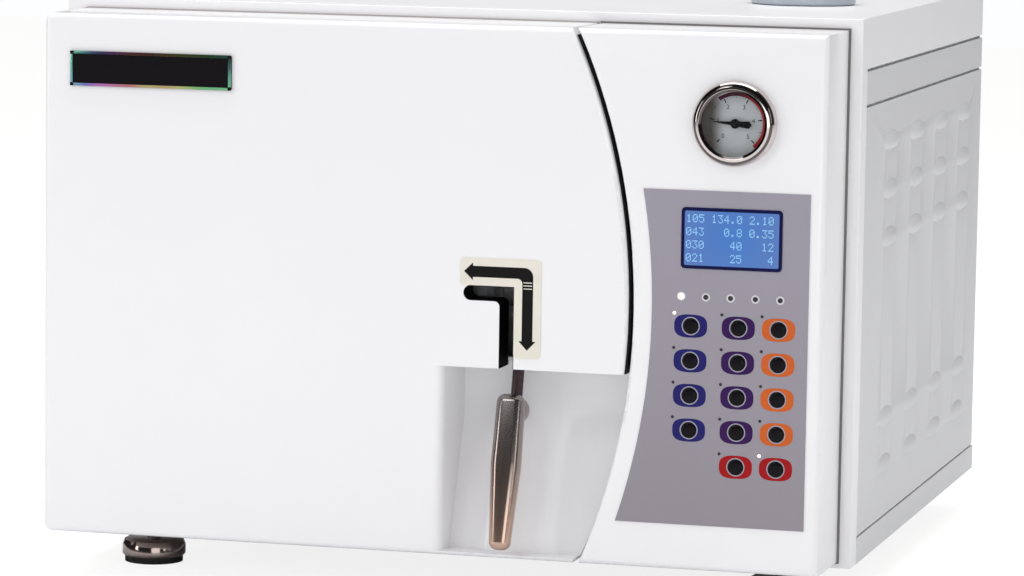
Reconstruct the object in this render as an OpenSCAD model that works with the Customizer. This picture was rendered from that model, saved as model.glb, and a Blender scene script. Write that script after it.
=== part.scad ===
// Benchtop steam autoclave: a side-hinged moulded door with a lever latch,
// a control fascia, and a sheet-metal cabinet round a horizontal chamber.
// X runs to the right, Y to the back and Z up; the feet stand on Z = 0.

/* [Cabinet] */
// Height of the cabinet without its feet and filler cap
cab_h = 397; // [390:1:430]
// Depth of the cabinet behind the door
cab_d = 520; // [500:5:600]
// Thickness of the sheet-steel covers
sheet_t = 2; // [1.5:0.25:3]
// Height of the base tray's upstand
plinth_h = 19; // [12:1:24]
// Depth of the front frame's return along the sides
frame_return = 20; // [14:1:30]
// Height of the top cover's side skirts
skirt_h = 37; // [28:1:44]
// Height of the rail between the top cover and a side panel
rail_h = 24; // [18:1:32]
// Open seam between two covers
seam = 2; // [1:0.5:3]

/* [Feet] */
// Height of the cabinet's underside above the bench
foot_h = 32; // [25:1:38]
// Diameter of a levelling foot
foot_d = 48; // [36:1:56]
// Height of a levelling foot with its rubber sole
foot_disc_h = 19; // [14:1:22]
// Diameter of a foot's threaded stud
stud_d = 10; // [8:1:12]
// Distance of a foot's centre from the cabinet's sides
foot_inset = 58; // [40:1:80]

/* [Door and fascia] */
// Depth of the door and the fascia in front of the cabinet
door_d = 75; // [75:1:84]
// Width of the door from its hinged side to the chamber's flange
hinge_room = 36; // [26:1:60]
// Distance of the lever from the chamber's flange
latch_room = 20; // [19:1:40]
// Distance of the lever from the door's free edge at its widest
edge_room = 89; // [80:1:120]
// Width of the fascia from the door's free edge to its side
fascia_w = 141; // [136:1:190]
// Radius of the door's curved free edge
edge_r = 469; // [450:1:520]
// Height of the curve's widest point above the door's lower edge
edge_rise = 185; // [170:1:200]
// Gap between the door and the fascia
door_gap = 4; // [3:0.5:6]
// Wall of the moulded door and fascia
shell_t = 3; // [2.5:0.25:4]
// Rounding of the moulded front edges
front_round = 5; // [4:0.5:10]
// Rounding of the door's two left corners seen from the front
corner_round = 8; // [5:1:12]
// Cabinet height left free below the door
margin_low = 5; // [4:1:12]
// Cabinet height left free above the door
margin_high = 8; // [6:1:12]
// Cabinet width left free beside the door and the fascia
margin_side = 10; // [8:1:14]

/* [Handle recess and latch] */
// Width of the recess to the left of the lever
recess_reach = 47; // [44:1:52]
// Height of the recess
recess_h = 138; // [130:1:140]
// Depth of the recess under its ceiling
recess_d = 52; // [50:1:54]
// Depth of the recess at its foot
recess_foot_d = 21; // [18:1:26]
// Width of the L-shaped lever slot
slot_w = 11; // [10:0.5:12]
// Travel of the lever along the slot's level leg
slot_travel = 27; // [24:1:28]
// Diameter of the lever's shank
shank_d = 8.6; // [7.6:0.2:8.8]
// Angle of the hanging lever from the vertical
lever_lean = 14; // [12:1:15]
// Distance of the grip's upper end from the lever's cross pin
grip_start = 80; // [79:1:84]
// Length of the grip
grip_l = 113; // [104:1:114]
// Width of the grip
grip_w = 21; // [18:1:23]
// Running clearance of the hinge and latch pins
pin_play = 0.05; // [0.02:0.01:0.1]

/* [Control panel] */
// Distance of the control panel's right edge from the fascia's side
panel_side = 10; // [6:1:14]
// Height of the control panel
panel_h = 239; // [232:1:243]
// Distance of the panel's foot from the fascia's lower edge
panel_low = 33; // [27:1:34]
// Width of the display window
lcd_w = 73; // [68:1:74]
// Height of the display window
lcd_h = 43.5; // [38:0.5:46]
// Diameter of a key
key_d = 11; // [9:0.5:12]
// Distance of the left column of keys from the panel's right edge
key_left = 84.5; // [80:0.5:88]
// Distance of the middle column of keys from the panel's right edge
key_middle = 50; // [46:1:56]
// Distance of the right column of keys from the panel's right edge
key_right = 21; // [18:0.5:26]
// Distance between two status lamps
led_pitch = 17.9; // [14:0.1:18]
// Height between two rows of keys
key_pitch = 24.8; // [24:0.2:25.6]
// Travel of a key
key_travel = 1.2; // [0.8:0.1:1.5]
// Diameter of the pressure gauge's bezel
gauge_d = 61; // [56:1:66]
// Diameter of the gauge's glass
glass_d = 46; // [42:1:48]

/* [Chamber] */
// Inside diameter of the chamber
chamber_d = 250; // [200:5:290]
// Width of the flange round the chamber's mouth
flange_w = 24; // [20:1:30]
// Depth of the chamber
chamber_depth = 435; // [400:5:440]
// Wall of the chamber
chamber_t = 3; // [2:0.5:4]
// Thickness of the chamber's insulation
lagging_t = 16; // [12:1:18]
// Number of trays on the rack
tray_count = 3; // [2:1:4]

/* [Water tank] */
// Diameter of the filler cap
cap_d = 80; // [70:1:90]
// Height of the filler cap
cap_h = 16; // [14:1:20]

/* [Side louvres] */
// Length of a pressed louvre
louvre_l = 60; // [50:1:64]
// Height of a louvre above its panel
louvre_h = 3.5; // [2.5:0.5:4]
// Distance between two columns of louvres
louvre_pitch = 105; // [92:1:110]
// Height between two rows of louvres
louvre_row = 36; // [30:1:40]

/* [Hidden] */
$fn = 48;
KEYS = 14;

// Small clearances and overlaps
eps = 1;
fit_gap = 0.3;
door_seam = 2;
fascia_seam = 3;
panel_sink = 1;
joint_gap = 0.5;

// Heights
base_z = foot_h;
top_z = base_z + cab_h;
front_lo = base_z + margin_low;
front_hi = top_z - margin_high;
mid_z = (front_lo + front_hi) / 2;
panel_lo = base_z + plinth_h + seam / 2;
skirt_lo = top_z - skirt_h;
rail_hi = skirt_lo - seam;
rail_lo = rail_hi - rail_h;
panel_hi = rail_lo - seam;

// Widths
chamber_r = chamber_d / 2;
flange_r = chamber_r + flange_w;
lever_in = hinge_room + 2 * flange_r + latch_room;
door_w = lever_in + edge_room;
cab_w = door_w + fascia_w + 2 * margin_side;
cab_l = -cab_w / 2;
cab_r = cab_w / 2;
panel_x = cab_r - panel_sink;
door_l = cab_l + margin_side;
door_r = door_l + door_w;
fascia_r = cab_r - margin_side;
edge_x = door_r - edge_r;
edge_z = front_lo + edge_rise;

// Lever and latch, measured from the door's front face
cross_in = door_d - 25;
swing_in = cross_in + 14;
grip_off = 14;
grip_edge = 6.5;
tip_edge = 6;
grip_tip_w = grip_w * 0.76;
hub_r = 10;
grip_tip = grip_start + grip_l - tip_edge;
grip_out = grip_tip * sin(lever_lean) + grip_off * cos(lever_lean) + tip_edge - cross_in;

// Depths: the whole object is centred on Y = 0
rear_out = 30;
depth_all = grip_out + door_d + cab_d + rear_out;
front_y = grip_out - depth_all / 2;
frame_y = front_y + door_d;
door_back = frame_y - door_seam;
fascia_back = frame_y - fascia_seam;
body_y = frame_y + frame_return + joint_gap;
rear_y = frame_y + cab_d;

lever_x = door_l + lever_in;
slot_z = mid_z;
slot_fillet = 4;
cross_y = front_y + cross_in;
swing_y = front_y + swing_in;
recess_l = lever_x - recess_reach;
recess_round = 7;
recess_top = front_lo + recess_h;

// Door hinge
hinge_x = door_l + 9;
hinge_y = frame_y - 26;
hinge_pin_r = 3.5;
knuckle_r = 5.5;
knuckle_h = 30;
knuckle_z = [front_lo + 50, front_hi - 50 - knuckle_h];
arm_t = 8;
leaf_x = hinge_x + 24;
ear_t = 6;

// Chamber
chamber_x = door_l + hinge_room + flange_r;
chamber_z = mid_z;
flange_y = frame_y + sheet_t;
flange_t = 10;
chamber_back = flange_y + chamber_depth;
end_t = 5;
gasket_t = 5;
gasket_r = chamber_r + 8;
plate_r = chamber_r + 16;
heater_y = chamber_back - 90;
heater_t = 2;
heater_w = 60;
lagging_in = chamber_r + chamber_t + heater_t + 1;
lagging_y = [flange_y + flange_t + 2, chamber_back + end_t];
saddle_y = [flange_y + 60, chamber_back - 140];
saddle_t = 20;
saddle_w = chamber_d * 0.8;

// Rack and trays
rack_half = chamber_r * 0.72;
rack_rise = sqrt(chamber_r * chamber_r - rack_half * rack_half);
rack_y = [flange_y + 25, chamber_back - 25];
rack_t = 1.5;
runner = 12;
tray_t = 1.2;
pan_h = 10;
hole_in = 25;
hole_r = 4;
tray_l = rack_y[1] - rack_y[0] - 8;
tray_y = [rack_y[0] + 4, rack_y[0] + 4 + tray_l];
tray_pitch = 2 * rack_half / (tray_count + 1);
tray_z = [for (i = [1:tray_count]) chamber_z - rack_half + i * tray_pitch - pan_h];

// Rear fittings and screws
inlet_pos = [cab_r - 80, base_z + 60];
inlet_w = 28;
inlet_h = 21;
valve_pos = [chamber_x, chamber_z + chamber_r * 0.6];
drain_pos = [cab_l + 70, base_z + 55];
valve_r = 7;
valve_cap_r = 9;
valve_out = 26;
nut_h = 8;
screw_x = [-panel_x + 12, -panel_x / 3, panel_x / 3, panel_x - 12];
screw_z = [panel_lo + 8, top_z - 12];
vent_count = 8;
vent_l = 130;
vent_h = 5;
vent_pitch = 14;
vent_x = cab_r - 240;
vent_z = mid_z - 10;

// Control panel
panel_right = fascia_r - panel_side;
panel_bottom = front_lo + panel_low;
panel_top = panel_bottom + panel_h;
overlay_t = 0.8;
band_w = 18;
lcd_x = panel_right - key_left - 8;
lcd_z = panel_top - 12 - lcd_h;
led_row_z = lcd_z - 20;
key_x = [panel_right - key_left, panel_right - key_middle, panel_right - key_right];
key_top_z = led_row_z - 21;
key_hole_r = key_d / 2 + fit_gap;
key_spots = concat(
    [for (r = [0:3]) [key_x[0], key_top_z - r * key_pitch]],
    [for (r = [0:4]) [key_x[1], key_top_z - r * key_pitch]],
    [for (r = [0:4]) [key_x[2], key_top_z - r * key_pitch]]);
led_spots = [for (i = [0:4]) [key_x[0] - 7.3 + i * led_pitch, led_row_z]];
pilot_spots = [for (s = key_spots) [s[0] - 12, s[1] + 9]];
led_r = 1.8;
pilot_r = 1.1;
gauge_x = panel_right - 55.5;
gauge_z = (panel_top + front_hi) / 2 - 8;
gauge_out = 9;
gauge_r = gauge_d / 2;
glass_r = glass_d / 2;
board_y = front_y + 14;

// Water tank and filler cap
cap_x = cab_r - 86;
cap_y = frame_y + 201;
neck_r = cap_d / 2 - 8;
neck_t = 3;
neck_rise = 4;
plug_l = 13;
tank_lo = [cab_r - 190, frame_y + 110, top_z - 132];
tank_hi = [cab_r - 22, frame_y + 300, top_z - 12];
tank_t = 3;

// Vacuum pump
pump_r = 42;
pump_l = 130;
pump_foot_l = 18;
head_w = 64;
pump_x = cab_r - 110;
pump_y = frame_y + 130;
pump_z = base_z + sheet_t + pump_r + 31;

// Side louvres
louvre_sink = 7;
louvre_in = 104;

// Feet
foot_x = cab_r - foot_inset;
foot_y = [frame_y + 35, rear_y - 45];
sole_h = 4;
boss_h = 10;

// ---------- shared shapes ----------

// A box between two corners
module block(lo, hi) {
    translate(lo) cube(hi - lo);
}

// A (y, z) outline drawn out along X
module along_x(x0, x1) {
    translate([x0, 0, 0]) rotate([90, 0, 90]) linear_extrude(x1 - x0) children();
}

// An (x, z) outline drawn out along Y
module along_y(y0, y1) {
    translate([0, y1, 0]) rotate([90, 0, 0]) linear_extrude(y1 - y0) children();
}

// A rod along Y
module rod_y(x, z, r, y0, y1) {
    along_y(y0, y1) translate([x, z]) circle(r);
}

// A (radius, y) outline turned about an axis along Y
module turned_y(x, z) {
    translate([x, 0, z]) rotate([-90, 0, 0]) rotate_extrude() children();
}

// What a rounded corner of radius r takes off at the origin
module corner_waste(r) {
    difference() {
        translate([-eps, -eps]) square(r + eps);
        translate([r, r]) circle(r);
    }
}

// A rectangle with four rounded corners
module round_rect(lo, hi, r) {
    translate([lo[0] + r, lo[1]]) square([hi[0] - lo[0] - 2 * r, hi[1] - lo[1]]);
    translate([lo[0], lo[1] + r]) square([hi[0] - lo[0], hi[1] - lo[1] - 2 * r]);
    for (x = [lo[0] + r, hi[0] - r], z = [lo[1] + r, hi[1] - r])
        translate([x, z]) circle(r);
}

// ---------- moulded front ----------

// Section of both mouldings: rounded along the top and bottom front edges
module front_section(inset, back) {
    r = max(front_round - inset, 1);
    difference() {
        translate([front_y + inset, front_lo + inset])
            square([back - front_y - inset, front_hi - front_lo - 2 * inset]);
        translate([front_y + inset, front_lo + inset]) corner_waste(r);
        translate([front_y + inset, front_hi - inset]) mirror([0, 1]) corner_waste(r);
    }
}

// The door's outer form, or its hollow when inset by the wall
module door_form(inset, back) {
    r = max(front_round - inset, 1);
    intersection() {
        along_x(door_l - eps, door_r + eps) front_section(inset, back);
        along_y(front_y, back)
            round_rect([door_l + inset, front_lo + inset],
                       [door_r + 2 * corner_round, front_hi - inset], corner_round - inset);
        translate([0, 0, front_lo]) linear_extrude(front_hi - front_lo) difference() {
            translate([door_l + inset, front_y + inset])
                square([door_w, back - front_y - inset]);
            translate([door_l + inset, front_y + inset]) corner_waste(r);
        }
        turned_y(edge_x, edge_z) difference() {
            translate([0, front_y + inset])
                square([edge_r - inset, back - front_y - inset]);
            translate([edge_r - inset, front_y + inset])
                mirror([1, 0]) corner_waste(max(front_round / 2 - inset, 1));
        }
    }
}

// The scooped recess behind the grip, or its outside when grown by the wall
module recess_form(grow) {
    foot_z = front_lo + shell_t - grow;
    lean_angle = atan((recess_d - recess_foot_d) / (recess_h * 0.7));
    difference() {
        intersection() {
            along_x(recess_l - 20, door_r + 20) polygon([
                [front_y - 5, recess_top + grow],
                [front_y + recess_d + grow, recess_top + grow],
                [front_y + recess_d + grow, recess_top - recess_h * 0.3],
                [front_y + recess_foot_d + grow, foot_z],
                [front_y - 5, foot_z]]);
            translate([0, 0, front_lo - eps]) linear_extrude(recess_h + 20) polygon(concat(
                [[door_r + 20, front_y - eps], [recess_l - recess_round - grow, front_y - eps]],
                [for (a = [0:15:90]) [recess_l - grow - recess_round * (1 - sin(a)),
                                      front_y + recess_round * (1 - cos(a))]],
                [[recess_l + 3 - grow, front_y + door_d], [door_r + 20, front_y + door_d]]));
        }
        translate([lever_x + 8, front_y + recess_foot_d + 64, front_lo])
            rotate([-lean_angle, 0, 0])
                translate([0, 0, -30]) cylinder(r = 68 - grow, h = recess_h + 60);
    }
}

// The L-shaped lever slot through the front wall, and the way through the ceiling
module lever_slot() {
    w = slot_w / 2;
    along_y(front_y - eps, front_y + shell_t + eps) {
        translate([lever_x - w, recess_top - eps])
            square([slot_w, slot_z + w - recess_top + eps]);
        translate([lever_x - slot_travel, slot_z - w]) square([slot_travel, slot_w]);
        translate([lever_x - slot_travel, slot_z]) circle(w);
        translate([lever_x - w - slot_fillet, slot_z - w - slot_fillet]) difference() {
            square(slot_fillet);
            circle(slot_fillet);
        }
    }
    block([lever_x - w, front_y - eps, recess_top - eps],
          [lever_x + w, front_y + 45, recess_top + shell_t + eps]);
    block([lever_x - w - 13, front_y + 29, recess_top - eps],
          [lever_x + w, front_y + 45, recess_top + shell_t + eps]);
}

// Windows for the hinge arms through the door's side and back
module hinge_windows() {
    for (z = knuckle_z)
        block([door_l - eps, hinge_y - 11, z - 2],
              [hinge_x + knuckle_r + 2, frame_y + eps, z + knuckle_h + 2]);
}

module door_shell() color("white") difference() {
    door_form(0, door_back);
    difference() {
        door_form(shell_t, door_back + eps);
        recess_form(shell_t);
    }
    recess_form(0);
    lever_slot();
    hinge_windows();
}

// Steel pan that closes the back of the door round the pressure plate
module door_liner() color("gainsboro") difference() {
    intersection() {
        door_form(shell_t + fit_gap, door_back + eps);
        block([door_l, door_back - sheet_t, front_lo], [door_r, door_back, front_hi]);
    }
    rod_y(chamber_x, chamber_z, plate_r + 2, frame_y - 10, frame_y);
    block([lever_x - 8, frame_y - 10, slot_z - 24], [lever_x + 32, frame_y, slot_z + 24]);
    hinge_windows();
}

// Steel beam that carries the pressure plate between the hinge leaf and the latch
module door_beam() color("lightsteelblue") difference() {
    union() {
        block([leaf_x, hinge_y - 12, knuckle_z[0] - 20],
              [leaf_x + 4, hinge_y + 8, knuckle_z[1] + knuckle_h + 20]);
        block([leaf_x, frame_y - 30, mid_z - 22], [lever_x - 22, frame_y - 12, mid_z + 22]);
        block([lever_x - 26.5, frame_y - 22, mid_z - 22], [lever_x + 9, frame_y - 5, mid_z + 22]);
        for (z = knuckle_z, side = [-ear_t - joint_gap, knuckle_h + joint_gap])
            translate([0, 0, z + side]) {
                translate([hinge_x, hinge_y, 0]) cylinder(r = knuckle_r, h = ear_t);
                translate([hinge_x, hinge_y - knuckle_r, 0])
                    cube([leaf_x - hinge_x, 2 * knuckle_r, ear_t]);
            }
    }
    translate([hinge_x, hinge_y, 0]) cylinder(r = hinge_pin_r + pin_play, h = top_z);
    translate([lever_x, swing_y, 0]) cylinder(r = 4 + pin_play, h = top_z);
    block([lever_x - 22, frame_y - 40, mid_z - 15], [lever_x + 20, frame_y, mid_z + 15]);
}

// Dished stainless plate that presses the gasket on the chamber's flange
module pressure_plate() color("silver") {
    turned_y(chamber_x, chamber_z) polygon([
        [0, frame_y - 9], [plate_r - 3, frame_y - 9], [plate_r, frame_y - 7],
        [plate_r, frame_y - gasket_t + sheet_t], [gasket_r + 5, frame_y - gasket_t + sheet_t],
        [gasket_r + 5, frame_y - 5], [gasket_r - 5, frame_y - 5],
        [gasket_r - 5, frame_y - gasket_t + sheet_t], [chamber_r - 9, frame_y - gasket_t + sheet_t],
        [chamber_r - 13, flange_y + 5], [chamber_r - 40, flange_y + 5],
        [chamber_r - 48, frame_y - 4], [0, frame_y - 4]]);
    rod_y(chamber_x, chamber_z, 18, frame_y - 12, frame_y - 8.5);
}

module door_gasket() color("white")
    turned_y(chamber_x, chamber_z)
        translate([gasket_r - 5, frame_y - 5]) square([10, gasket_t + sheet_t - fit_gap]);

// Bare name-plate holder on the door's upper left
module door_plate() color([0.05, 0.05, 0.07])
    along_y(front_y - 2, front_y)
        round_rect([door_l + 21, front_hi - 53], [door_l + 145, front_hi - 27.5], 1.5);

// L-shaped guide label that wraps the outer side of the lever slot
module lever_guide() color("ivory") {
    inner = slot_w / 2;
    leg = 20;
    along_y(front_y - 0.6, front_y) {
        round_rect([lever_x - slot_travel - 8, slot_z + inner],
                   [lever_x + inner + leg, slot_z + inner + leg], 3);
        round_rect([lever_x + inner, slot_z - 46],
                   [lever_x + inner + leg, slot_z + inner + leg], 3);
    }
}

// ---------- latch and lever ----------

// Fork that turns on the vertical pin, with the tongue that enters the keeper
module latch_swivel() color("silver") difference() {
    union() {
        translate([lever_x, swing_y, mid_z - 21.5]) cylinder(r = 4, h = 43);
        translate([lever_x, swing_y, mid_z - 14.5]) cylinder(r = 6.3, h = 29);
        for (x = [lever_x - 10, lever_x + 5.5])
            block([x, cross_y - 6, mid_z - 8], [x + 4.5, swing_y, mid_z + 8]);
        block([lever_x + 1.5, swing_y, mid_z - 7], [lever_x + 7.5, frame_y + 22, mid_z + 7]);
    }
    translate([lever_x - 15, cross_y, mid_z]) rotate([0, 90, 0]) cylinder(r = 3 + pin_play, h = 30);
}

// Places what is drawn along the hanging lever: -Z runs down it, -Y to its front
module at_lever() {
    translate([lever_x, cross_y, slot_z]) rotate([-lever_lean, 0, 0]) children();
}

module lever_shank() color("dimgray") at_lever() {
    rotate([0, 90, 0]) translate([0, 0, -10.5]) cylinder(r = 3, h = 21);
    rotate([0, 90, 0]) translate([0, 0, -5]) cylinder(r = 6.5, h = 10);
    translate([0, 0, -grip_start - 16]) cylinder(d = shank_d, h = grip_start + 12);
}

// Flat-faced grip with a round knuckle behind its upper end that takes the shank
module lever_grip() color("rosybrown") at_lever() difference() {
    union() {
        translate([0, 1, -grip_start - hub_r]) sphere(r = hub_r, $fn = 40);
        grip_body();
    }
    translate([0, 0, -grip_start - 16]) cylinder(d = shank_d, h = 40);
}

module grip_body() hull() {
    for (side = [-1, 1]) {
        translate([side * (grip_w / 2 - grip_edge), -grip_off, -grip_start - grip_edge])
            sphere(r = grip_edge, $fn = 32);
        translate([side * (grip_w / 2 + 0.7 - grip_edge), -grip_off, -grip_start - grip_l * 0.45])
            scale([1, 1.15, 1]) sphere(r = grip_edge, $fn = 32);
        translate([side * (grip_tip_w / 2 - tip_edge), -grip_off, -grip_tip])
            sphere(r = tip_edge, $fn = 32);
    }
    translate([0, -3, -grip_start - 24]) sphere(r = 6, $fn = 32);
}

// Lug behind the front frame that the tongue slides past
module latch_keeper() color("silver") {
    block([lever_x - 17, frame_y + sheet_t, mid_z - 28], [lever_x - 10, frame_y + 6, mid_z + 28]);
    for (z = [mid_z - 28, mid_z + 14])
        block([lever_x - 17, frame_y + sheet_t, z], [lever_x + 20, frame_y + 6, z + 14]);
    block([lever_x - 14, frame_y + sheet_t, mid_z - 9], [lever_x - 10, frame_y + 16, mid_z + 9]);
    block([lever_x - 14, frame_y + 12, mid_z - 9], [lever_x + 0.5, frame_y + 16, mid_z + 9]);
}

// Two arms with their pins, on a plate behind the front frame
module hinge_bracket() color("silver") {
    block([cab_l + 4, frame_y + sheet_t, knuckle_z[0] - 20],
          [cab_l + 34, frame_y + sheet_t + 3, knuckle_z[1] + knuckle_h + 20]);
    for (z = knuckle_z) {
        translate([hinge_x, hinge_y, z]) cylinder(r = knuckle_r, h = knuckle_h);
        block([hinge_x - arm_t / 2, hinge_y, z], [hinge_x + arm_t / 2, frame_y + 4, z + knuckle_h]);
        translate([hinge_x, hinge_y, z - ear_t - joint_gap])
            cylinder(r = hinge_pin_r, h = knuckle_h + 2 * (ear_t + joint_gap));
    }
}

// ---------- control fascia ----------

// The fascia's outer form, or its hollow when inset by the wall
module fascia_form(inset, back) {
    r = max(front_round - inset, 1);
    edge = edge_r + door_gap + inset;
    difference() {
        intersection() {
            along_x(0, fascia_r + eps) front_section(inset, back);
            translate([0, 0, front_lo]) linear_extrude(front_hi - front_lo) difference() {
                translate([0, front_y + inset]) square([fascia_r - inset, back - front_y - inset]);
                translate([fascia_r - inset, front_y + inset]) mirror([1, 0]) corner_waste(r);
            }
        }
        turned_y(edge_x, edge_z) {
            translate([0, front_y - eps]) square([edge, door_d + 3 * eps]);
            translate([edge, front_y + inset]) corner_waste(front_round / 2);
        }
    }
}

// Moulding that stands off the frame on four bosses, which leaves an open seam
module control_fascia() color("white") difference() {
    union() {
        difference() {
            fascia_form(0, fascia_back);
            fascia_form(shell_t, fascia_back + eps);
        }
        for (x = [door_r + 8, fascia_r - 20], z = [front_lo + 18, front_hi - 18])
            rod_y(x, z, 6, front_y + shell_t - eps, frame_y);
    }
    rod_y(gauge_x, gauge_z, gauge_r - 2.2, front_y - eps, front_y + 10);
    panel_openings();
}

// Holes for the display, the keys and the lamps
module panel_openings() {
    along_y(front_y - overlay_t - eps, front_y + shell_t + eps) {
        round_rect([lcd_x, lcd_z], [lcd_x + lcd_w, lcd_z + lcd_h], 3);
        for (s = key_spots) translate(s) circle(key_hole_r);
        for (s = led_spots) translate(s) circle(led_r);
        for (s = pilot_spots) translate(s) circle(pilot_r);
    }
}

// Printed keypad sheet; its left side follows the door's curved edge
module keypad_overlay() color("slategray") difference() {
    along_y(front_y - overlay_t, front_y) difference() {
        translate([0, panel_bottom]) square([panel_right, panel_h]);
        translate([edge_x, edge_z]) circle(edge_r + band_w, $fn = 180);
    }
    panel_openings();
}

module lcd_window() color("royalblue")
    along_y(front_y - overlay_t - 0.6, front_y + shell_t)
        round_rect([lcd_x, lcd_z], [lcd_x + lcd_w, lcd_z + lcd_h], 3);

// Row of status lamps and the small pilot lamp beside each key
module indicator_lenses() color("lightyellow") {
    for (s = led_spots) rod_y(s[0], s[1], led_r, front_y - overlay_t - 0.6, front_y + 6);
    for (s = pilot_spots) rod_y(s[0], s[1], pilot_r, front_y - overlay_t - 0.3, front_y + 6);
}

// Circuit board with a switch behind each key, the display module and its posts
module control_board() color("darkgreen") {
    switch_t = 3.2;
    block([key_x[0] - 16, board_y, panel_bottom + 14], [panel_right - 4, board_y + 1.6, panel_top - 4]);
    block([lcd_x - 3, front_y + shell_t, lcd_z - 3],
          [lcd_x + lcd_w + 3, board_y, lcd_z + lcd_h + 3]);
    for (s = key_spots)
        block([s[0] - 3, board_y - switch_t, s[1] - 3], [s[0] + 3, board_y, s[1] + 3]);
    for (x = [key_x[0] - 12, panel_right - 7], z = [panel_bottom + 18, led_row_z + 10])
        rod_y(x, z, 2.5, front_y + shell_t, board_y);
}

// A key: domed cap, retaining flange behind the fascia and a stem to its switch
module key_cap(n) color("black") {
    r = key_d / 2;
    face = front_y - overlay_t - 1.6;
    back = front_y + shell_t;
    turned_y(key_spots[n][0], key_spots[n][1]) polygon([
        [0, face], [r - 1.4, face + 0.2], [r - 0.4, face + 0.7], [r, face + 1.4],
        [r, back + 0.6], [r + 1.6, back + 0.6], [r + 1.6, back + 2], [2, back + 2],
        [2, board_y - 3.5 - key_travel], [0, board_y - 3.5 - key_travel]]);
}

// ---------- pressure gauge ----------

module gauge_case() color("silver") {
    lip = 1.4;
    turned_y(gauge_x, gauge_z) difference() {
        union() {
            translate([0, front_y - gauge_out]) square([gauge_r, gauge_out]);
            translate([0, front_y]) square([gauge_r - 2.5, 30]);
            translate([0, front_y + 30]) square([7, 14]);
        }
        translate([gauge_r, front_y - gauge_out]) mirror([1, 0]) corner_waste(6);
        translate([0, front_y - gauge_out - eps]) square([glass_r, gauge_out + 5]);
        translate([0, front_y - gauge_out + 2]) square([glass_r + lip, gauge_out + 2]);
        translate([glass_r - eps, front_y - gauge_out - eps])
            polygon([[0, 0], [4, 0], [1, 2.6], [0, 2.6]]);
    }
}

module gauge_dial() color("lightgray")
    turned_y(gauge_x, gauge_z)
        translate([1 + pin_play, front_y + 2]) square([glass_r + 1.4 - 1 - pin_play, 2]);

module gauge_glass() color([0.8, 0.9, 0.95, 0.4])
    rod_y(gauge_x, gauge_z, glass_r + 1.4, front_y - gauge_out + 2, front_y - gauge_out + 4);

module gauge_needle() color("black") {
    thick = 0.6;
    translate([gauge_x, 0, gauge_z]) rotate([0, 4, 0]) {
        along_y(front_y - thick, front_y) {
            polygon([[-glass_r + 5, 0], [0, 1.6], [10, 2.6], [12, 0], [10, -2.6], [0, -1.6]]);
            circle(3.4);
        }
        rod_y(0, 0, 1, front_y - 1.6, front_y + 3.6);
    }
}

// ---------- cabinet ----------

// One folded sheet round the front: face plate and return flanges
module front_frame() color("white") difference() {
    block([cab_l, frame_y, base_z], [cab_r, frame_y + frame_return, top_z]);
    block([cab_l + sheet_t, frame_y + sheet_t, base_z + sheet_t],
          [cab_r - sheet_t, frame_y + frame_return + eps, top_z - sheet_t]);
    rod_y(chamber_x, chamber_z, flange_r + 1, frame_y - eps, frame_y + sheet_t + eps);
    block([lever_x - 9, frame_y - eps, mid_z - 12], [lever_x + 34, frame_y + 5, mid_z + 12]);
    block([door_r + 20, frame_y - eps, front_lo + 30], [fascia_r - 12, frame_y + 5, front_hi - 30]);
    for (z = knuckle_z)
        block([hinge_x - arm_t / 2 - 1, frame_y - eps, z - 1],
              [hinge_x + arm_t / 2 + 1, frame_y + 5, z + knuckle_h + 1]);
}

// Folded floor with an upstand on three sides and a weld nut for each foot
module base_tray() color("whitesmoke") difference() {
    union() {
        difference() {
            block([cab_l, body_y, base_z], [cab_r, rear_y, base_z + plinth_h]);
            block([cab_l + sheet_t, body_y - eps, base_z + sheet_t],
                  [cab_r - sheet_t, rear_y - sheet_t, base_z + plinth_h + eps]);
        }
        for (x = [-foot_x, foot_x], y = foot_y)
            translate([x, y, base_z]) cylinder(r = stud_d / 2 + 5, h = boss_h);
    }
    for (x = [-foot_x, foot_x], y = foot_y)
        translate([x, y, base_z - eps]) cylinder(r = stud_d / 2 + pin_play, h = boss_h + 2 * eps);
}

// Square-tube posts and rails that carry the covers, and the tank's shelf
module chassis() color("gray") {
    tube = 15;
    side = panel_x - sheet_t;
    y0 = body_y + 2;
    y1 = rear_y - sheet_t;
    for (s = [-1, 1]) {
        x0 = s > 0 ? side - tube : -side;
        for (y = [y0, y1 - tube])
            block([x0, y, base_z + sheet_t], [x0 + tube, y + tube, top_z - sheet_t]);
        block([x0, y0, panel_hi - tube * 0.7], [x0 + tube, y1, skirt_lo + tube * 0.7]);
    }
    block([tank_lo[0], tank_lo[1], tank_lo[2] - sheet_t], [side, tank_hi[1], tank_lo[2]]);
    block([tank_lo[0], tank_hi[1] - tube, base_z + sheet_t],
          [tank_lo[0] + tube, tank_hi[1], tank_lo[2] - sheet_t]);
    block([side - tube, tank_hi[1] - tube, base_z + sheet_t],
          [side, tank_hi[1], tank_lo[2] - sheet_t]);
}

module top_cover() color("white") difference() {
    block([-panel_x, body_y, skirt_lo], [panel_x, rear_y, top_z]);
    block([-panel_x + sheet_t, body_y - eps, skirt_lo - eps],
          [panel_x - sheet_t, rear_y + eps, top_z - sheet_t]);
    translate([cap_x, cap_y, skirt_lo]) cylinder(r = neck_r + joint_gap, h = skirt_h + eps);
}

module side_rails() color("gainsboro")
    for (x = [-panel_x, panel_x - sheet_t])
        block([x, body_y, rail_lo], [x + sheet_t, rear_y, rail_hi]);

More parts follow.
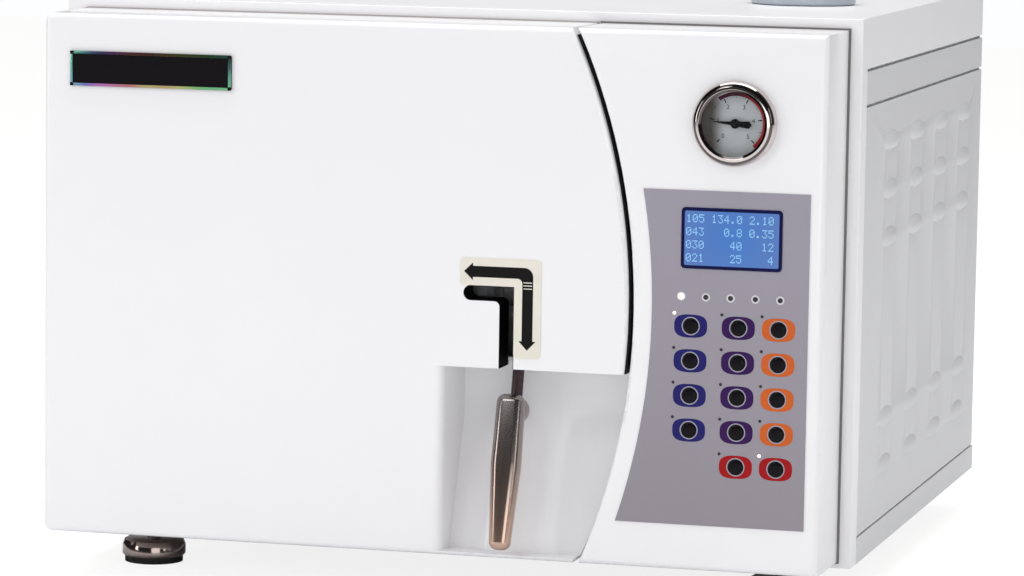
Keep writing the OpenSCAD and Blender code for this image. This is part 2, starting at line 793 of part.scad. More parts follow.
// One louvre: a spindle sunk in the sheet, given by its length and rise above the sheet
module louvre(length, rise) {
    arc = (length * length / 4 + rise * rise) / (2 * rise);
    bulge = rise + louvre_sink;
    rotate([90, 0, 0]) rotate_extrude() intersection() {
        translate([bulge - arc, 0]) circle(arc, $fn = 180);
        translate([0, -length]) square([bulge, 2 * length]);
    }
}

// Side panel with pressed louvres, three rows above and two below, open on their undersides
module side_panel() {
    first_y = body_y + louvre_in;
    rows = [panel_hi - 30, panel_hi - 30 - louvre_row, panel_hi - 30 - 2 * louvre_row,
            panel_lo + 39 + louvre_row, panel_lo + 39];
    spots = [for (z = rows, i = [0:3]) [panel_x - louvre_sink, first_y + i * louvre_pitch, z]];
    wall = 1.2;
    difference() {
        union() {
            block([panel_x - sheet_t, body_y, panel_lo], [panel_x, rear_y, panel_hi]);
            intersection() {
                union() for (p = spots) translate(p) louvre(louvre_l, louvre_h);
                block([panel_x - sheet_t, body_y, panel_lo], [panel_x + 10, rear_y, panel_hi]);
            }
        }
        for (p = spots) {
            translate(p) louvre(louvre_l - 8, louvre_h - wall);
            block([panel_x + 0.1, p[1] - louvre_l * 0.36, p[2] - 15],
                  [panel_x + 10, p[1] + louvre_l * 0.36, p[2] - louvre_sink * 0.8]);
        }
    }
}

module side_panel_right() color("gainsboro") side_panel();

module side_panel_left() color("gainsboro") mirror([1, 0, 0]) side_panel();

module rear_panel() color("gainsboro") difference() {
    block([-panel_x + sheet_t, rear_y - sheet_t, panel_lo],
          [panel_x - sheet_t, rear_y, top_z - sheet_t]);
    along_y(rear_y - sheet_t - eps, rear_y + eps) {
        for (i = [0:vent_count - 1])
            round_rect([vent_x, vent_z + i * vent_pitch],
                       [vent_x + vent_l, vent_z + i * vent_pitch + vent_h], vent_h * 0.48);
        translate(inlet_pos) square([inlet_w, inlet_h], center = true);
        translate(valve_pos) circle(valve_r + 3);
        translate(drain_pos) circle(7.2);
        for (x = screw_x, z = screw_z) translate([x, z]) circle(1.8);
    }
}

module cover_screws() color("silver")
    for (x = screw_x, z = screw_z) {
        rod_y(x, z, 3.5, rear_y, rear_y + 2);
        rod_y(x, z, 1.8, rear_y - 6, rear_y);
    }

// Levelling foot: stud, turned disc and rubber sole
module foot(x, y) color("silver") translate([x, y, 0]) {
    r = foot_d / 2;
    rotate_extrude() polygon([
        [0, 0], [r - 2, 0], [r - 2, sole_h], [r, sole_h + 2], [r, foot_disc_h - 6],
        [r - 1.5, foot_disc_h - 2.5], [r - 5, foot_disc_h - 0.6], [r - 9, foot_disc_h],
        [0, foot_disc_h]]);
    cylinder(d = stud_d, h = base_z + boss_h);
}

// ---------- chamber and what stands in it ----------

module chamber() color("silver")
    turned_y(chamber_x, chamber_z) polygon([
        [0, chamber_back], [chamber_r, chamber_back], [chamber_r, flange_y],
        [flange_r, flange_y], [flange_r, flange_y + flange_t],
        [chamber_r + chamber_t, flange_y + flange_t],
        [chamber_r + chamber_t, chamber_back + end_t], [0, chamber_back + end_t]]);

module band_heater() color("dimgray")
    turned_y(chamber_x, chamber_z)
        translate([chamber_r + chamber_t, heater_y]) square([heater_t, heater_w]);

module chamber_lagging() color("beige") difference() {
    turned_y(chamber_x, chamber_z)
        translate([lagging_in, lagging_y[0]]) square([lagging_t, lagging_y[1] - lagging_y[0]]);
    for (y = saddle_y)
        block([chamber_x - cab_w / 2, y - joint_gap, 0],
              [chamber_x + cab_w / 2, y + saddle_t + joint_gap, chamber_z - chamber_r * 0.24]);
}

// Two saddles that carry the chamber on the base tray
module chamber_saddles() color("gray")
    for (y = saddle_y) difference() {
        block([chamber_x - saddle_w / 2, y, base_z + sheet_t],
              [chamber_x + saddle_w / 2, y + saddle_t, chamber_z - chamber_r * 0.48]);
        rod_y(chamber_x, chamber_z, chamber_r + chamber_t, y - eps, y + saddle_t + eps);
    }

// Rack: two side plates with the tray runners, joined across the top and bottom
module tray_rack() color("silver") {
    for (s = [-1, 1]) {
        x0 = chamber_x + s * (rack_half - rack_t / 2);
        block([x0 - rack_t / 2, rack_y[0], chamber_z - rack_rise],
              [x0 + rack_t / 2, rack_y[1], chamber_z + rack_rise]);
        x1 = chamber_x + s * (rack_half - runner / 2);
        for (z = tray_z)
            block([x1 - runner / 2, rack_y[0], z - rack_t], [x1 + runner / 2, rack_y[1], z]);
    }
    for (y = [rack_y[0], rack_y[1] - runner], z = [-rack_rise, rack_rise - rack_t])
        block([chamber_x - rack_half, y, chamber_z + z],
              [chamber_x + rack_half, y + runner, chamber_z + z + rack_t]);
}

// Shallow perforated trays, whose rims lie on the runners
module trays() color("lightgray") {
    rim = rack_half - rack_t - 1;
    pan = rack_half - runner - 1;
    for (z = tray_z) difference() {
        union() {
            block([chamber_x - rim, tray_y[0], z], [chamber_x + rim, tray_y[1], z + tray_t]);
            block([chamber_x - pan, tray_y[0], z - pan_h], [chamber_x + pan, tray_y[1], z]);
        }
        block([chamber_x - pan + tray_t, tray_y[0] + tray_t, z - pan_h + tray_t],
              [chamber_x + pan - tray_t, tray_y[1] - tray_t, z + 5]);
        for (i = [-2:2], j = [0:7])
            translate([chamber_x + i * pan / 3, tray_y[0] + hole_in + j * (tray_l - 2 * hole_in) / 7,
                       z - pan_h - eps])
                cylinder(r = hole_r, h = tray_t + 2 * eps);
    }
}

// ---------- inside the right of the cabinet ----------

// Moulded water tank with a filler neck that comes up through the top cover
module water_tank() color("white") difference() {
    union() {
        block(tank_lo, tank_hi);
        translate([cap_x, cap_y, tank_hi[2] - eps])
            cylinder(r = neck_r, h = top_z + neck_rise - tank_hi[2] + eps);
    }
    block(tank_lo + [tank_t, tank_t, tank_t], tank_hi - [tank_t, tank_t, tank_t]);
    translate([cap_x, cap_y, tank_hi[2] - tank_t - eps])
        cylinder(r = neck_r - neck_t, h = top_z + neck_rise - tank_hi[2] + tank_t + 2 * eps);
}

// Quarter-turn filler cap with a plug in the neck
module filler_cap() color("lightslategray") translate([cap_x, cap_y, 0]) {
    r = cap_d / 2;
    rotate_extrude() polygon([
        [0, top_z + neck_rise + joint_gap], [neck_r + joint_gap, top_z + neck_rise + joint_gap],
        [neck_r + joint_gap, top_z + joint_gap],
        [r - 1, top_z + joint_gap], [r, top_z + 2], [r, top_z + cap_h - 4],
        [r - 1.5, top_z + cap_h - 1.2], [r - 4, top_z + cap_h], [0, top_z + cap_h]]);
    translate([0, 0, top_z + neck_rise + eps - plug_l])
        cylinder(r = neck_r - neck_t - fit_gap, h = plug_l);
}

// Vacuum pump: motor, pump head and its two feet
module vacuum_pump() color("dimgray") {
    rod_y(pump_x, pump_z, pump_r, pump_y, pump_y + pump_l);
    block([pump_x - head_w / 2, pump_y - pump_r, pump_z - pump_r * 0.85],
          [pump_x + head_w / 2, pump_y, pump_z + pump_r * 1.25]);
    for (y = [pump_y + pump_foot_l / 2, pump_y + pump_l - 1.5 * pump_foot_l])
        block([pump_x - pump_r * 0.9, y, base_z + sheet_t],
              [pump_x + pump_r * 0.9, y + pump_foot_l, pump_z]);
}

// Mains inlet: flanged socket with three flat pins
module power_inlet() color("black") {
    rim_t = 3;
    wall = 2;
    difference() {
        union() {
            along_y(rear_y, rear_y + rim_t) translate(inlet_pos)
                square([inlet_w + 20, inlet_h + 9], center = true);
            along_y(rear_y - 24, rear_y) translate(inlet_pos) square([inlet_w, inlet_h], center = true);
        }
        along_y(rear_y - 16, rear_y + rim_t + eps) translate(inlet_pos)
            square([inlet_w - 2 * wall, inlet_h - 2 * wall], center = true);
    }
    for (p = [[-7, -2], [7, -2], [0, 3]])
        along_y(rear_y - 17, rear_y - 1) translate(inlet_pos + p) square([2, 4], center = true);
}

module safety_valve() color("goldenrod") {
    x = valve_pos[0];
    z = valve_pos[1];
    turned_y(x, z) polygon([
        [0, chamber_back + end_t], [valve_r, chamber_back + end_t], [valve_r, rear_y + nut_h],
        [valve_cap_r, rear_y + nut_h], [valve_cap_r, rear_y + valve_out - 3],
        [valve_cap_r - 3, rear_y + valve_out], [0, rear_y + valve_out]]);
    along_y(rear_y, rear_y + nut_h) translate(valve_pos) circle(valve_cap_r + 4, $fn = 6);
}

// Drain: flanged body with a hose tail, barbed at its root and plain at its end
module drain_spigot() color("goldenrod") {
    bore = 3;
    tail = 5;
    barb = 4.3;
    root = 7;
    collar = 11;
    collar_t = 5;
    turned_y(drain_pos[0], drain_pos[1]) polygon(concat(
        [[bore, rear_y - 12], [root, rear_y - 12], [root, rear_y], [collar, rear_y],
         [collar, rear_y + collar_t]],
        [for (i = [0:2], p = [[tail + 1, 0], [tail, barb]])
            [p[0], rear_y + collar_t + i * barb + p[1]]],
        [[tail, rear_y + rear_out], [bore, rear_y + rear_out]]));
}

// ---------- nodes ----------

base_tray();
chassis();
front_frame();
top_cover();
side_rails();
side_panel_left();
side_panel_right();
rear_panel();
cover_screws();
foot(-foot_x, foot_y[0]);  // foot_front_left
foot(foot_x, foot_y[0]);  // foot_front_right
foot(-foot_x, foot_y[1]);  // foot_rear_left
foot(foot_x, foot_y[1]);  // foot_rear_right
control_fascia();
keypad_overlay();
lcd_window();
indicator_lenses();
control_board();
gauge_case();
gauge_dial();
gauge_glass();
gauge_needle();
chamber();
chamber_saddles();
band_heater();
chamber_lagging();
tray_rack();
trays();
water_tank();
filler_cap();
vacuum_pump();
latch_keeper();
hinge_bracket();
power_inlet();
safety_valve();
drain_spigot();
door_shell();
door_liner();
door_beam();
pressure_plate();
door_gasket();
door_plate();
lever_guide();
latch_swivel();
lever_shank();
lever_grip();
for (i = [1:KEYS])
    key_cap(i - 1);
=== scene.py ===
import math

import bmesh
import bpy
from mathutils import Matrix, Vector
from mathutils.geometry import tessellate_polygon


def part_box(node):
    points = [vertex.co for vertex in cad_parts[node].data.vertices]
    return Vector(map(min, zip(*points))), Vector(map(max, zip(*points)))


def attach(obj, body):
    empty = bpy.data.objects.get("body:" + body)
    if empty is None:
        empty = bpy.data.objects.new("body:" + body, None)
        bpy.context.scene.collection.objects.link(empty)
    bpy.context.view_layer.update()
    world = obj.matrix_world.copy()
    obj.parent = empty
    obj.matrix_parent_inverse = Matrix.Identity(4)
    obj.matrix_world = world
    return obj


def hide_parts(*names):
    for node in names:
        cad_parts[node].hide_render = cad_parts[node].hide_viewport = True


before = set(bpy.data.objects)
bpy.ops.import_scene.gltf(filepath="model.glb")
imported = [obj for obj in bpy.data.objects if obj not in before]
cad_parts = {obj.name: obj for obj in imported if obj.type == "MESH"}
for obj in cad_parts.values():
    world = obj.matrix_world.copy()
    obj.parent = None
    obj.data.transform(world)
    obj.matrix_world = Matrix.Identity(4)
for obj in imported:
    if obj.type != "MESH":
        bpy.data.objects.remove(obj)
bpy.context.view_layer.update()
MM = 0.001


# Studio: a pale floor that runs out to white, a square key lamp high on the left, a low lamp in
# front, an upright strip at each side, a broad lamp above and a dim surround. A long lens stands
# to the right and looks down a little.

def add(tree, kind, inputs=(), **settings):
    """Adds a node to a tree; a node or socket given for an input is linked to it."""
    node = tree.nodes.new(kind)
    for name, value in settings.items():
        setattr(node, name, value)
    for key, value in dict(inputs).items():
        if isinstance(value, bpy.types.Node):
            value = value.outputs[0]
        if isinstance(value, bpy.types.NodeSocket):
            tree.links.new(value, node.inputs[key])
        else:
            node.inputs[key].default_value = value
    return node


def place_camera(place, yaw, pitch, roll, lens):
    ahead = Vector((-math.sin(yaw) * math.cos(pitch), math.cos(yaw) * math.cos(pitch), -math.sin(pitch)))
    level = Vector((math.cos(yaw), math.sin(yaw), 0))
    upright = level.cross(ahead)
    right = math.cos(roll) * level + math.sin(roll) * upright
    up = math.cos(roll) * upright - math.sin(roll) * level
    data = bpy.data.cameras.new("camera")
    data.sensor_width = 36
    data.lens = lens
    data.clip_end = 60
    camera = bpy.data.objects.new("camera", data)
    camera.matrix_world = Matrix.Translation(place) @ Matrix((right, up, -ahead)).transposed().to_4x4()
    bpy.context.scene.collection.objects.link(camera)
    bpy.context.scene.camera = camera


def place_lamp(name, place, aim, size, watts):
    data = bpy.data.lights.new(name, "AREA")
    data.shape = "RECTANGLE"
    data.size, data.size_y = size
    data.energy = watts
    lamp = bpy.data.objects.new(name, data)
    lamp.location = place
    lamp.rotation_euler = (Vector(aim) - Vector(place)).to_track_quat("-Z", "Y").to_euler()
    bpy.context.scene.collection.objects.link(lamp)


def sheet_of(name, corners):
    mesh = bpy.data.meshes.new(name)
    mesh.from_pydata(corners, [], [tuple(range(len(corners)))])
    piece = bpy.data.objects.new(name, mesh)
    bpy.context.scene.collection.objects.link(piece)
    return piece


place_camera((0.917387, -3.413922, 0.594562), yaw=0.2674, pitch=0.1115, roll=0.0155, lens=159.410)
place_lamp("key_lamp", (-1.07, -2.59, 2.48), (0, -0.3, 0.2), (0.9, 0.9), 11)
place_lamp("front_lamp", (1.2, -3.2, 0.45), (0, -0.3, 0.2), (1.8, 0.8), 10)
place_lamp("left_strip", (-2.2, -2.1, 0.80), (0, -0.3, 0.2), (0.5, 1.2), 8)
place_lamp("right_strip", (2.5, -1.9, 0.90), (0, -0.3, 0.2), (0.4, 1.2), 4.5)
place_lamp("top_lamp", (0, 0.1, 3.0), (0, -0.1, 0.3), (3.0, 2.4), 66)

GLOW = 0.84
floor = sheet_of("floor", [(-7, -7, 0), (7, -7, 0), (7, 7, 0), (-7, 7, 0)])
floor_finish = bpy.data.materials.new("floor_finish")
floor_finish.use_nodes = True
tree = floor_finish.node_tree
matt = tree.nodes["Principled BSDF"]
matt.inputs["Roughness"].default_value = 0.95
seen = add(tree, "ShaderNodeLightPath").outputs["Is Camera Ray"]
tone = add(tree, "ShaderNodeMix", {0: seen, 6: (0.87, 0.87, 0.88, 1), 7: (0.26, 0.25, 0.24, 1)},
           data_type="RGBA")
tree.links.new(tone.outputs[2], matt.inputs["Base Color"])
tree.links.new(seen, matt.inputs["Emission Strength"])
matt.inputs["Emission Color"].default_value = (GLOW, GLOW, GLOW, 1)
floor.data.materials.append(floor_finish)

AROUND = 0.57
MIRRORED = 0.04
surround = bpy.data.worlds.new("surround")
surround.use_nodes = True
tree = surround.node_tree
rays = add(tree, "ShaderNodeLightPath")
seen = add(tree, "ShaderNodeMath", {0: rays.outputs["Is Camera Ray"], 1: rays.outputs["Is Transmission Ray"]},
           operation="MAXIMUM")
level = add(tree, "ShaderNodeMix", {0: rays.outputs["Is Glossy Ray"], 2: AROUND, 3: MIRRORED},
            data_type="FLOAT")
level = add(tree, "ShaderNodeMix", {0: seen, 2: level.outputs[0], 3: 1.0}, data_type="FLOAT")
tree.links.new(level.outputs[0], tree.nodes["Background"].inputs["Strength"])
tree.nodes["Background"].inputs["Color"].default_value = (0.985, 0.99, 1, 1)
bpy.context.scene.world = surround
bpy.context.scene.view_settings.view_transform = "Standard"


# Sheet-steel covers: folded, welded and powder-coated in a fine satin white. The front
# frame and the top are one colour; the sides, rails, rear and base take the same white
# painted darker and a little cooler, a painted shade. The pierced rear and side panels keep their sheared
# edges.

def new_group(name, inputs, outputs):
    """A shader group whose inputs are (name, default) and whose outputs are plain values."""
    group = bpy.data.node_groups.new(name, "ShaderNodeTree")
    for socket, value in inputs:
        kind = "NodeSocketVector" if isinstance(value, tuple) else "NodeSocketFloat"
        group.interface.new_socket(socket, in_out="INPUT", socket_type=kind).default_value = value
    for socket in outputs:
        group.interface.new_socket(socket, in_out="OUTPUT", socket_type="NodeSocketFloat")
    return group, add(group, "NodeGroupInput"), add(group, "NodeGroupOutput")


def grain_group():
    """Orange peel and slow mottling of a sprayed or moulded surface; Scale is in bumps a metre."""
    group, given, out = new_group("surface_grain", [("Scale", 900.0), ("Spread", 9.0)],
                                  ["Height", "Mottle", "Scuff"])
    place = add(group, "ShaderNodeTexCoord").outputs["Object"]
    peel = add(group, "ShaderNodeTexNoise", {"Vector": place, "Scale": given.outputs["Scale"], "Detail": 2.0,
                                             "Roughness": 0.45})
    slow = add(group, "ShaderNodeTexNoise", {"Vector": place, "Scale": given.outputs["Spread"],
                                             "Detail": 3.0})
    stretch = add(group, "ShaderNodeMapping", {"Vector": place, "Scale": (26.0, 26.0, 260.0),
                                               "Rotation": (0.3, 0.7, 0.2)})
    scuff = add(group, "ShaderNodeTexNoise", {"Vector": stretch, "Scale": 1.0, "Detail": 5.0,
                                              "Roughness": 0.7})
    scuff = add(group, "ShaderNodeMapRange", {"Value": scuff, "From Min": 0.62, "From Max": 0.75})
    for socket, value in (("Height", peel), ("Mottle", slow), ("Scuff", scuff)):
        group.links.new(value.outputs[0], out.inputs[socket])
    return group


def edge_group():
    """Marks the outer edges, where handling rubs the finish; Width is how far the wear reaches."""
    group, given, out = new_group("edge_wear", [("Width", 0.0012), ("Break", 220.0)], ["Mask"])
    round_normal = add(group, "ShaderNodeBevel", {"Radius": given.outputs["Width"]}, samples=4)
    flat_normal = add(group, "ShaderNodeNewGeometry").outputs["Normal"]
    turn = add(group, "ShaderNodeVectorMath", {0: round_normal, 1: flat_normal}, operation="DOT_PRODUCT")
    bend = add(group, "ShaderNodeMapRange", {"Value": turn.outputs["Value"], "From Min": 0.99,
                                             "From Max": 0.80})
    place = add(group, "ShaderNodeTexCoord").outputs["Object"]
    chips = add(group, "ShaderNodeTexNoise", {"Vector": place, "Scale": given.outputs["Break"],
                                              "Detail": 4.0})
    chips = add(group, "ShaderNodeMapRange", {"Value": chips, "From Min": 0.45, "From Max": 0.65})
    mask = add(group, "ShaderNodeMath", {0: bend, 1: chips}, operation="MULTIPLY")
    group.links.new(mask.outputs[0], out.inputs["Mask"])
    return group


surface_grain = grain_group()
edge_wear = edge_group()


def new_finish(name, rough=0.5, metallic=0.0, **plain):
    finish = bpy.data.materials.new(name)
    finish.use_nodes = True
    shader = finish.node_tree.nodes["Principled BSDF"]
    shader.inputs["Roughness"].default_value = rough
    shader.inputs["Metallic"].default_value = metallic
    for socket, value in plain.items():
        shader.inputs[socket.replace("_", " ")].default_value = value
    return finish, finish.node_tree, shader


def two_tone(tree, mask, low, high):
    return add(tree, "ShaderNodeMix", {0: mask, 6: (*low, 1), 7: (*high, 1)}, data_type="RGBA").outputs[2]


def shade_of(colour, factor):
    return tuple(min(c * factor, 1) for c in colour)


def coated(name, colour, rough=0.38, scale=700, height=0.10, worn=0.35, **plain):
    """A sprayed or moulded surface: fine peel, slow mottling, faint scuffs and rubbed edges."""
    finish, tree, shader = new_finish(name, rough, **plain)
    grain = add(tree, "ShaderNodeGroup", node_tree=surface_grain)
    grain.inputs["Scale"].default_value = scale
    wear = add(tree, "ShaderNodeGroup", node_tree=edge_wear)
    mottled = two_tone(tree, grain.outputs["Mottle"], shade_of(colour, 0.985), shade_of(colour, 1.012))
    rubbed = add(tree, "ShaderNodeMath", {0: wear.outputs["Mask"], 1: worn}, operation="MULTIPLY")
    tint = add(tree, "ShaderNodeMix", {0: rubbed, 6: mottled, 7: (*shade_of(colour, 0.80), 1)},
               data_type="RGBA")
    tree.links.new(tint.outputs[2], shader.inputs["Base Color"])
    gloss = add(tree, "ShaderNodeMapRange", {"Value": grain.outputs["Mottle"], "To Min": rough - 0.04,
                                             "To Max": rough + 0.04})
    dulled = add(tree, "ShaderNodeMath", {0: grain.outputs["Scuff"], 1: 0.07, 2: gloss},
                 operation="MULTIPLY_ADD")
    tree.links.new(dulled.outputs[0], shader.inputs["Roughness"])
    bump = add(tree, "ShaderNodeBump", {"Height": grain.outputs["Height"], "Strength": height,
                                        "Distance": 0.0002})
    tree.links.new(bump.outputs[0], shader.inputs["Normal"])
    return finish


def softening_nodes(angle):
    """Joins the mesh's loose corners and shades it smooth but for folds sharper than the angle."""
    group = bpy.data.node_groups.new("soft_shading", "GeometryNodeTree")
    group.interface.new_socket("Geometry", in_out="INPUT", socket_type="NodeSocketGeometry")
    group.interface.new_socket("Geometry", in_out="OUTPUT", socket_type="NodeSocketGeometry")
    given = add(group, "NodeGroupInput")
    out = add(group, "NodeGroupOutput")
    bare = add(group, "GeometryNodeRemoveAttribute", {"Geometry": given, "Name": "custom_normal"})
    joined = add(group, "GeometryNodeMergeByDistance", {"Geometry": bare, "Distance": 0.000005})
    smooth = add(group, "GeometryNodeSetShadeSmooth", {"Geometry": joined, "Shade Smooth": True},
                 domain="FACE")
    fold = add(group, "GeometryNodeInputMeshEdgeAngle")
    crisp = add(group, "FunctionNodeCompare", {"A": fold.outputs[0], "B": angle}, data_type="FLOAT",
                operation="GREATER_THAN")
    sharp = add(group, "GeometryNodeSetShadeSmooth", {"Geometry": smooth, "Selection": crisp,
                                                      "Shade Smooth": False}, domain="EDGE")
    group.links.new(sharp.outputs[0], out.inputs[0])
    return group


soft_shading = softening_nodes(math.radians(32))


def soften(piece, edge=0.0):
    """Smooth shading, and a small radius on the sharp edges where one is given."""
    shading = piece.modifiers.new("soft_shading", "NODES")
    shading.node_group = soft_shading
    if edge:
        bevel = piece.modifiers.new("edge_radius", "BEVEL")
        bevel.width = edge
        bevel.segments = 2
        bevel.limit_method = "ANGLE"
        bevel.angle_limit = math.radians(34)
        bevel.harden_normals = True
        bevel.use_clamp_overlap = True


def dress(names, finish, edge=0.0):
    """Gives CAD nodes a finish and soft edges."""
    for name in names.split():
        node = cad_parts[name]
        node.data.materials.clear()
        node.data.materials.append(finish)
        soften(node, edge)


WHITE = (0.900, 0.890, 0.902)
# Painted shade: the sides, rails, rear and base use the cover white made darker and cooler.
SIDE_WHITE_SHADED = (0.675, 0.674, 0.688)
cover_white = coated("cover_white", WHITE, rough=0.36, scale=520, height=0.16)
side_white_painted_shade = coated("side_white_painted_shade", SIDE_WHITE_SHADED, rough=0.42, scale=520, height=0.18)
dress("front_frame top_cover", cover_white, 0.0008)
dress("side_rails base_tray", side_white_painted_shade, 0.0005)
dress("rear_panel", side_white_painted_shade)
dress("side_panel_left side_panel_right", side_white_painted_shade)


# Chassis, saddles and brackets: square tube and plate, hot-dip galvanised after welding,
# so that a spangle of zinc crystals shows.

def galvanised(name, colour):
    finish, tree, shader = new_finish(name, 0.42, 0.85)
    place = add(tree, "ShaderNodeTexCoord").outputs["Object"]
    crystals = add(tree, "ShaderNodeTexVoronoi", {"Vector": place, "Scale": 110.0, "Randomness": 1.0})
    tone = add(tree, "ShaderNodeSeparateColor", {0: crystals.outputs["Color"]})
    tree.links.new(two_tone(tree, tone.outputs[0], shade_of(colour, 0.82), shade_of(colour, 1.1)),
                   shader.inputs["Base Color"])
    gloss = add(tree, "ShaderNodeMapRange", {"Value": tone.outputs[1], "To Min": 0.30, "To Max": 0.55})
    tree.links.new(gloss.outputs[0], shader.inputs["Roughness"])
    ridge = add(tree, "ShaderNodeBump", {"Height": crystals.outputs["Distance"], "Strength": 0.08,
                                         "Distance": 0.0003})
    tree.links.new(ridge.outputs[0], shader.inputs["Normal"])
    return finish


zinc = galvanised("zinc", (0.60, 0.62, 0.64))
dress("chassis chamber_saddles hinge_bracket door_beam latch_swivel latch_keeper", zinc, 0.0004)


# Levelling feet: a turned and chromed disc on a threaded stud, with a black rubber sole
# pressed into its underside. The thread shows between the disc and the base tray.

def brushed_group():
    """Fine parallel or turned lines: Lines is how many to the metre along Place's first axis."""
    group, given, out = new_group("metal_lines", [("Place", (0.0, 0.0, 0.0)), ("Lines", 2600.0)],
                                  ["Height", "Streak"])
    stretch = add(group, "ShaderNodeVectorMath", {0: given.outputs["Place"], 1: (1.0, 0.02, 0.02)},
                  operation="MULTIPLY")
    fine = add(group, "ShaderNodeTexNoise", {"Vector": stretch, "Scale": given.outputs["Lines"],
                                             "Detail": 3.0})
    broad_scale = add(group, "ShaderNodeMath", {0: given.outputs["Lines"], 1: 0.12}, operation="MULTIPLY")
    broad = add(group, "ShaderNodeTexNoise", {"Vector": stretch, "Scale": broad_scale, "Detail": 2.0})
    group.links.new(fine.outputs[0], out.inputs["Height"])
    group.links.new(broad.outputs[0], out.inputs["Streak"])
    return group


metal_lines = brushed_group()


def place_along(tree, axis):
    """Object coordinates turned so that the lines run across the named axis."""
    place = add(tree, "ShaderNodeTexCoord").outputs["Object"]
    if axis == "X":
        return place
    parts = add(tree, "ShaderNodeSeparateXYZ", {0: place})
    order = {"Y": ("Y", "X", "Z"), "Z": ("Z", "X", "Y")}[axis]
    return add(tree, "ShaderNodeCombineXYZ", {i: parts.outputs[a] for i, a in enumerate(order)}).outputs[0]


def place_round(tree, centre):
    """Radius about an axis along Y through the centre, so that the lines are circles."""
    place = add(tree, "ShaderNodeTexCoord").outputs["Object"]
    off = add(tree, "ShaderNodeVectorMath", {0: place, 1: tuple(centre)}, operation="SUBTRACT")
    flat = add(tree, "ShaderNodeVectorMath", {0: off, 1: (1.0, 0.0, 1.0)}, operation="MULTIPLY")
    radius = add(tree, "ShaderNodeVectorMath", {0: flat}, operation="LENGTH")
    return add(tree, "ShaderNodeCombineXYZ", {0: radius.outputs["Value"]}).outputs[0]


def lined_metal(name, colour, rough, place_of=None, lines=2600, depth=0.12, spread=0.12, **plain):
    finish, tree, shader = new_finish(name, rough, 1.0, **plain)
    place = place_of(tree) if place_of else place_along(tree, "X")
    marks = add(tree, "ShaderNodeGroup", {"Place": place}, node_tree=metal_lines)
    marks.inputs["Lines"].default_value = lines
    tree.links.new(two_tone(tree, marks.outputs["Streak"], shade_of(colour, 0.90), shade_of(colour, 1.08)),
                   shader.inputs["Base Color"])
    gloss = add(tree, "ShaderNodeMapRange", {"Value": marks.outputs["Streak"], "To Min": rough - spread / 2,
                                             "To Max": rough + spread / 2})
    tree.links.new(gloss.outputs[0], shader.inputs["Roughness"])
    bump = add(tree, "ShaderNodeBump", {"Height": marks.outputs["Height"], "Strength": depth,
                                        "Distance": 0.0001})
    tree.links.new(bump.outputs[0], shader.inputs["Normal"])
    return finish


def foot_finish():
    finish, tree, shader = new_finish("foot_finish", 0.1, 1.0)
    place = add(tree, "ShaderNodeTexCoord").outputs["Object"]
    height = add(tree, "ShaderNodeSeparateXYZ", {0: place}).outputs["Z"]
    metal = add(tree, "ShaderNodeMath", {0: height, 1: SOLE_H}, operation="GREATER_THAN")
    smear = add(tree, "ShaderNodeTexNoise", {"Vector": place, "Scale": 60.0, "Detail": 4.0})
    # Painted reflection: the chrome's colour is a dark brown, far below bright chrome, standing in for a dark
    # warm room reflected in it.
    painted_dark_chrome = two_tone(tree, smear.outputs[0], (0.16, 0.125, 0.11), (0.42, 0.35, 0.32))
    tree.links.new(add(tree, "ShaderNodeMix", {0: metal, 6: (0.012, 0.012, 0.012, 1), 7: painted_dark_chrome},
                       data_type="RGBA").outputs[2], shader.inputs["Base Color"])
    tree.links.new(metal.outputs[0], shader.inputs["Metallic"])
    polish = add(tree, "ShaderNodeMapRange", {"Value": smear, "To Min": 0.06, "To Max": 0.16})
    rough = add(tree, "ShaderNodeMix", {0: metal, 2: 0.75, 3: polish}, data_type="FLOAT")
    tree.links.new(rough.outputs[0], shader.inputs["Roughness"])
    return finish


SOLE_H = 4 * MM
dress("foot_front_left foot_front_right foot_rear_left foot_rear_right", foot_finish(), 0.0022)


def finish_mesh(name, mesh, body, finish, edge=0.0):
    """Puts a mesh in the scene as a piece on a CAD body, with its finish."""
    piece = bpy.data.objects.new(name, mesh)
    bpy.context.scene.collection.objects.link(piece)
    mesh.materials.clear()
    mesh.materials.append(finish)
    soften(piece, edge)
    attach(piece, body)
    return piece


def boxed(name):
    """Lowest and highest corner of a CAD node as vectors."""
    low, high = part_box(name)
    return Vector(low), Vector(high)


def middle(name):
    low, high = boxed(name)
    return (low + high) / 2


def closed(name, shape):
    """Turns a closed bmesh into a mesh with its faces outward."""
    bmesh.ops.recalc_face_normals(shape, faces=shape.faces)
    mesh = bpy.data.meshes.new(name)
    shape.to_mesh(mesh)
    shape.free()
    return mesh


def thread_mesh(name, radius, pitch, low, high, centre):
    """A V thread cut into a rod between two heights, closed at both ends."""
    around, up = 32, int((high - low) / pitch * 8)
    shape = bmesh.new()
    rows = []
    for k in range(up + 1):
        row = []
        for i in range(around):
            phase = (k / 8 - i / around) % 1.0
            reach = radius - 0.5 * pitch * abs(2 * phase - 1)
            angle = math.tau * i / around
            row.append(shape.verts.new((centre[0] + reach * math.cos(angle),
                                        centre[1] + reach * math.sin(angle),
                                        low + (high - low) * k / up)))
        rows.append(row)
    for lower, upper in zip(rows, rows[1:]):
        for i in range(around):
            j = (i + 1) % around
            shape.faces.new((lower[i], lower[j], upper[j], upper[i]))
    for row in (rows[0], rows[-1]):
        shape.faces.new(row)
    return closed(name, shape)


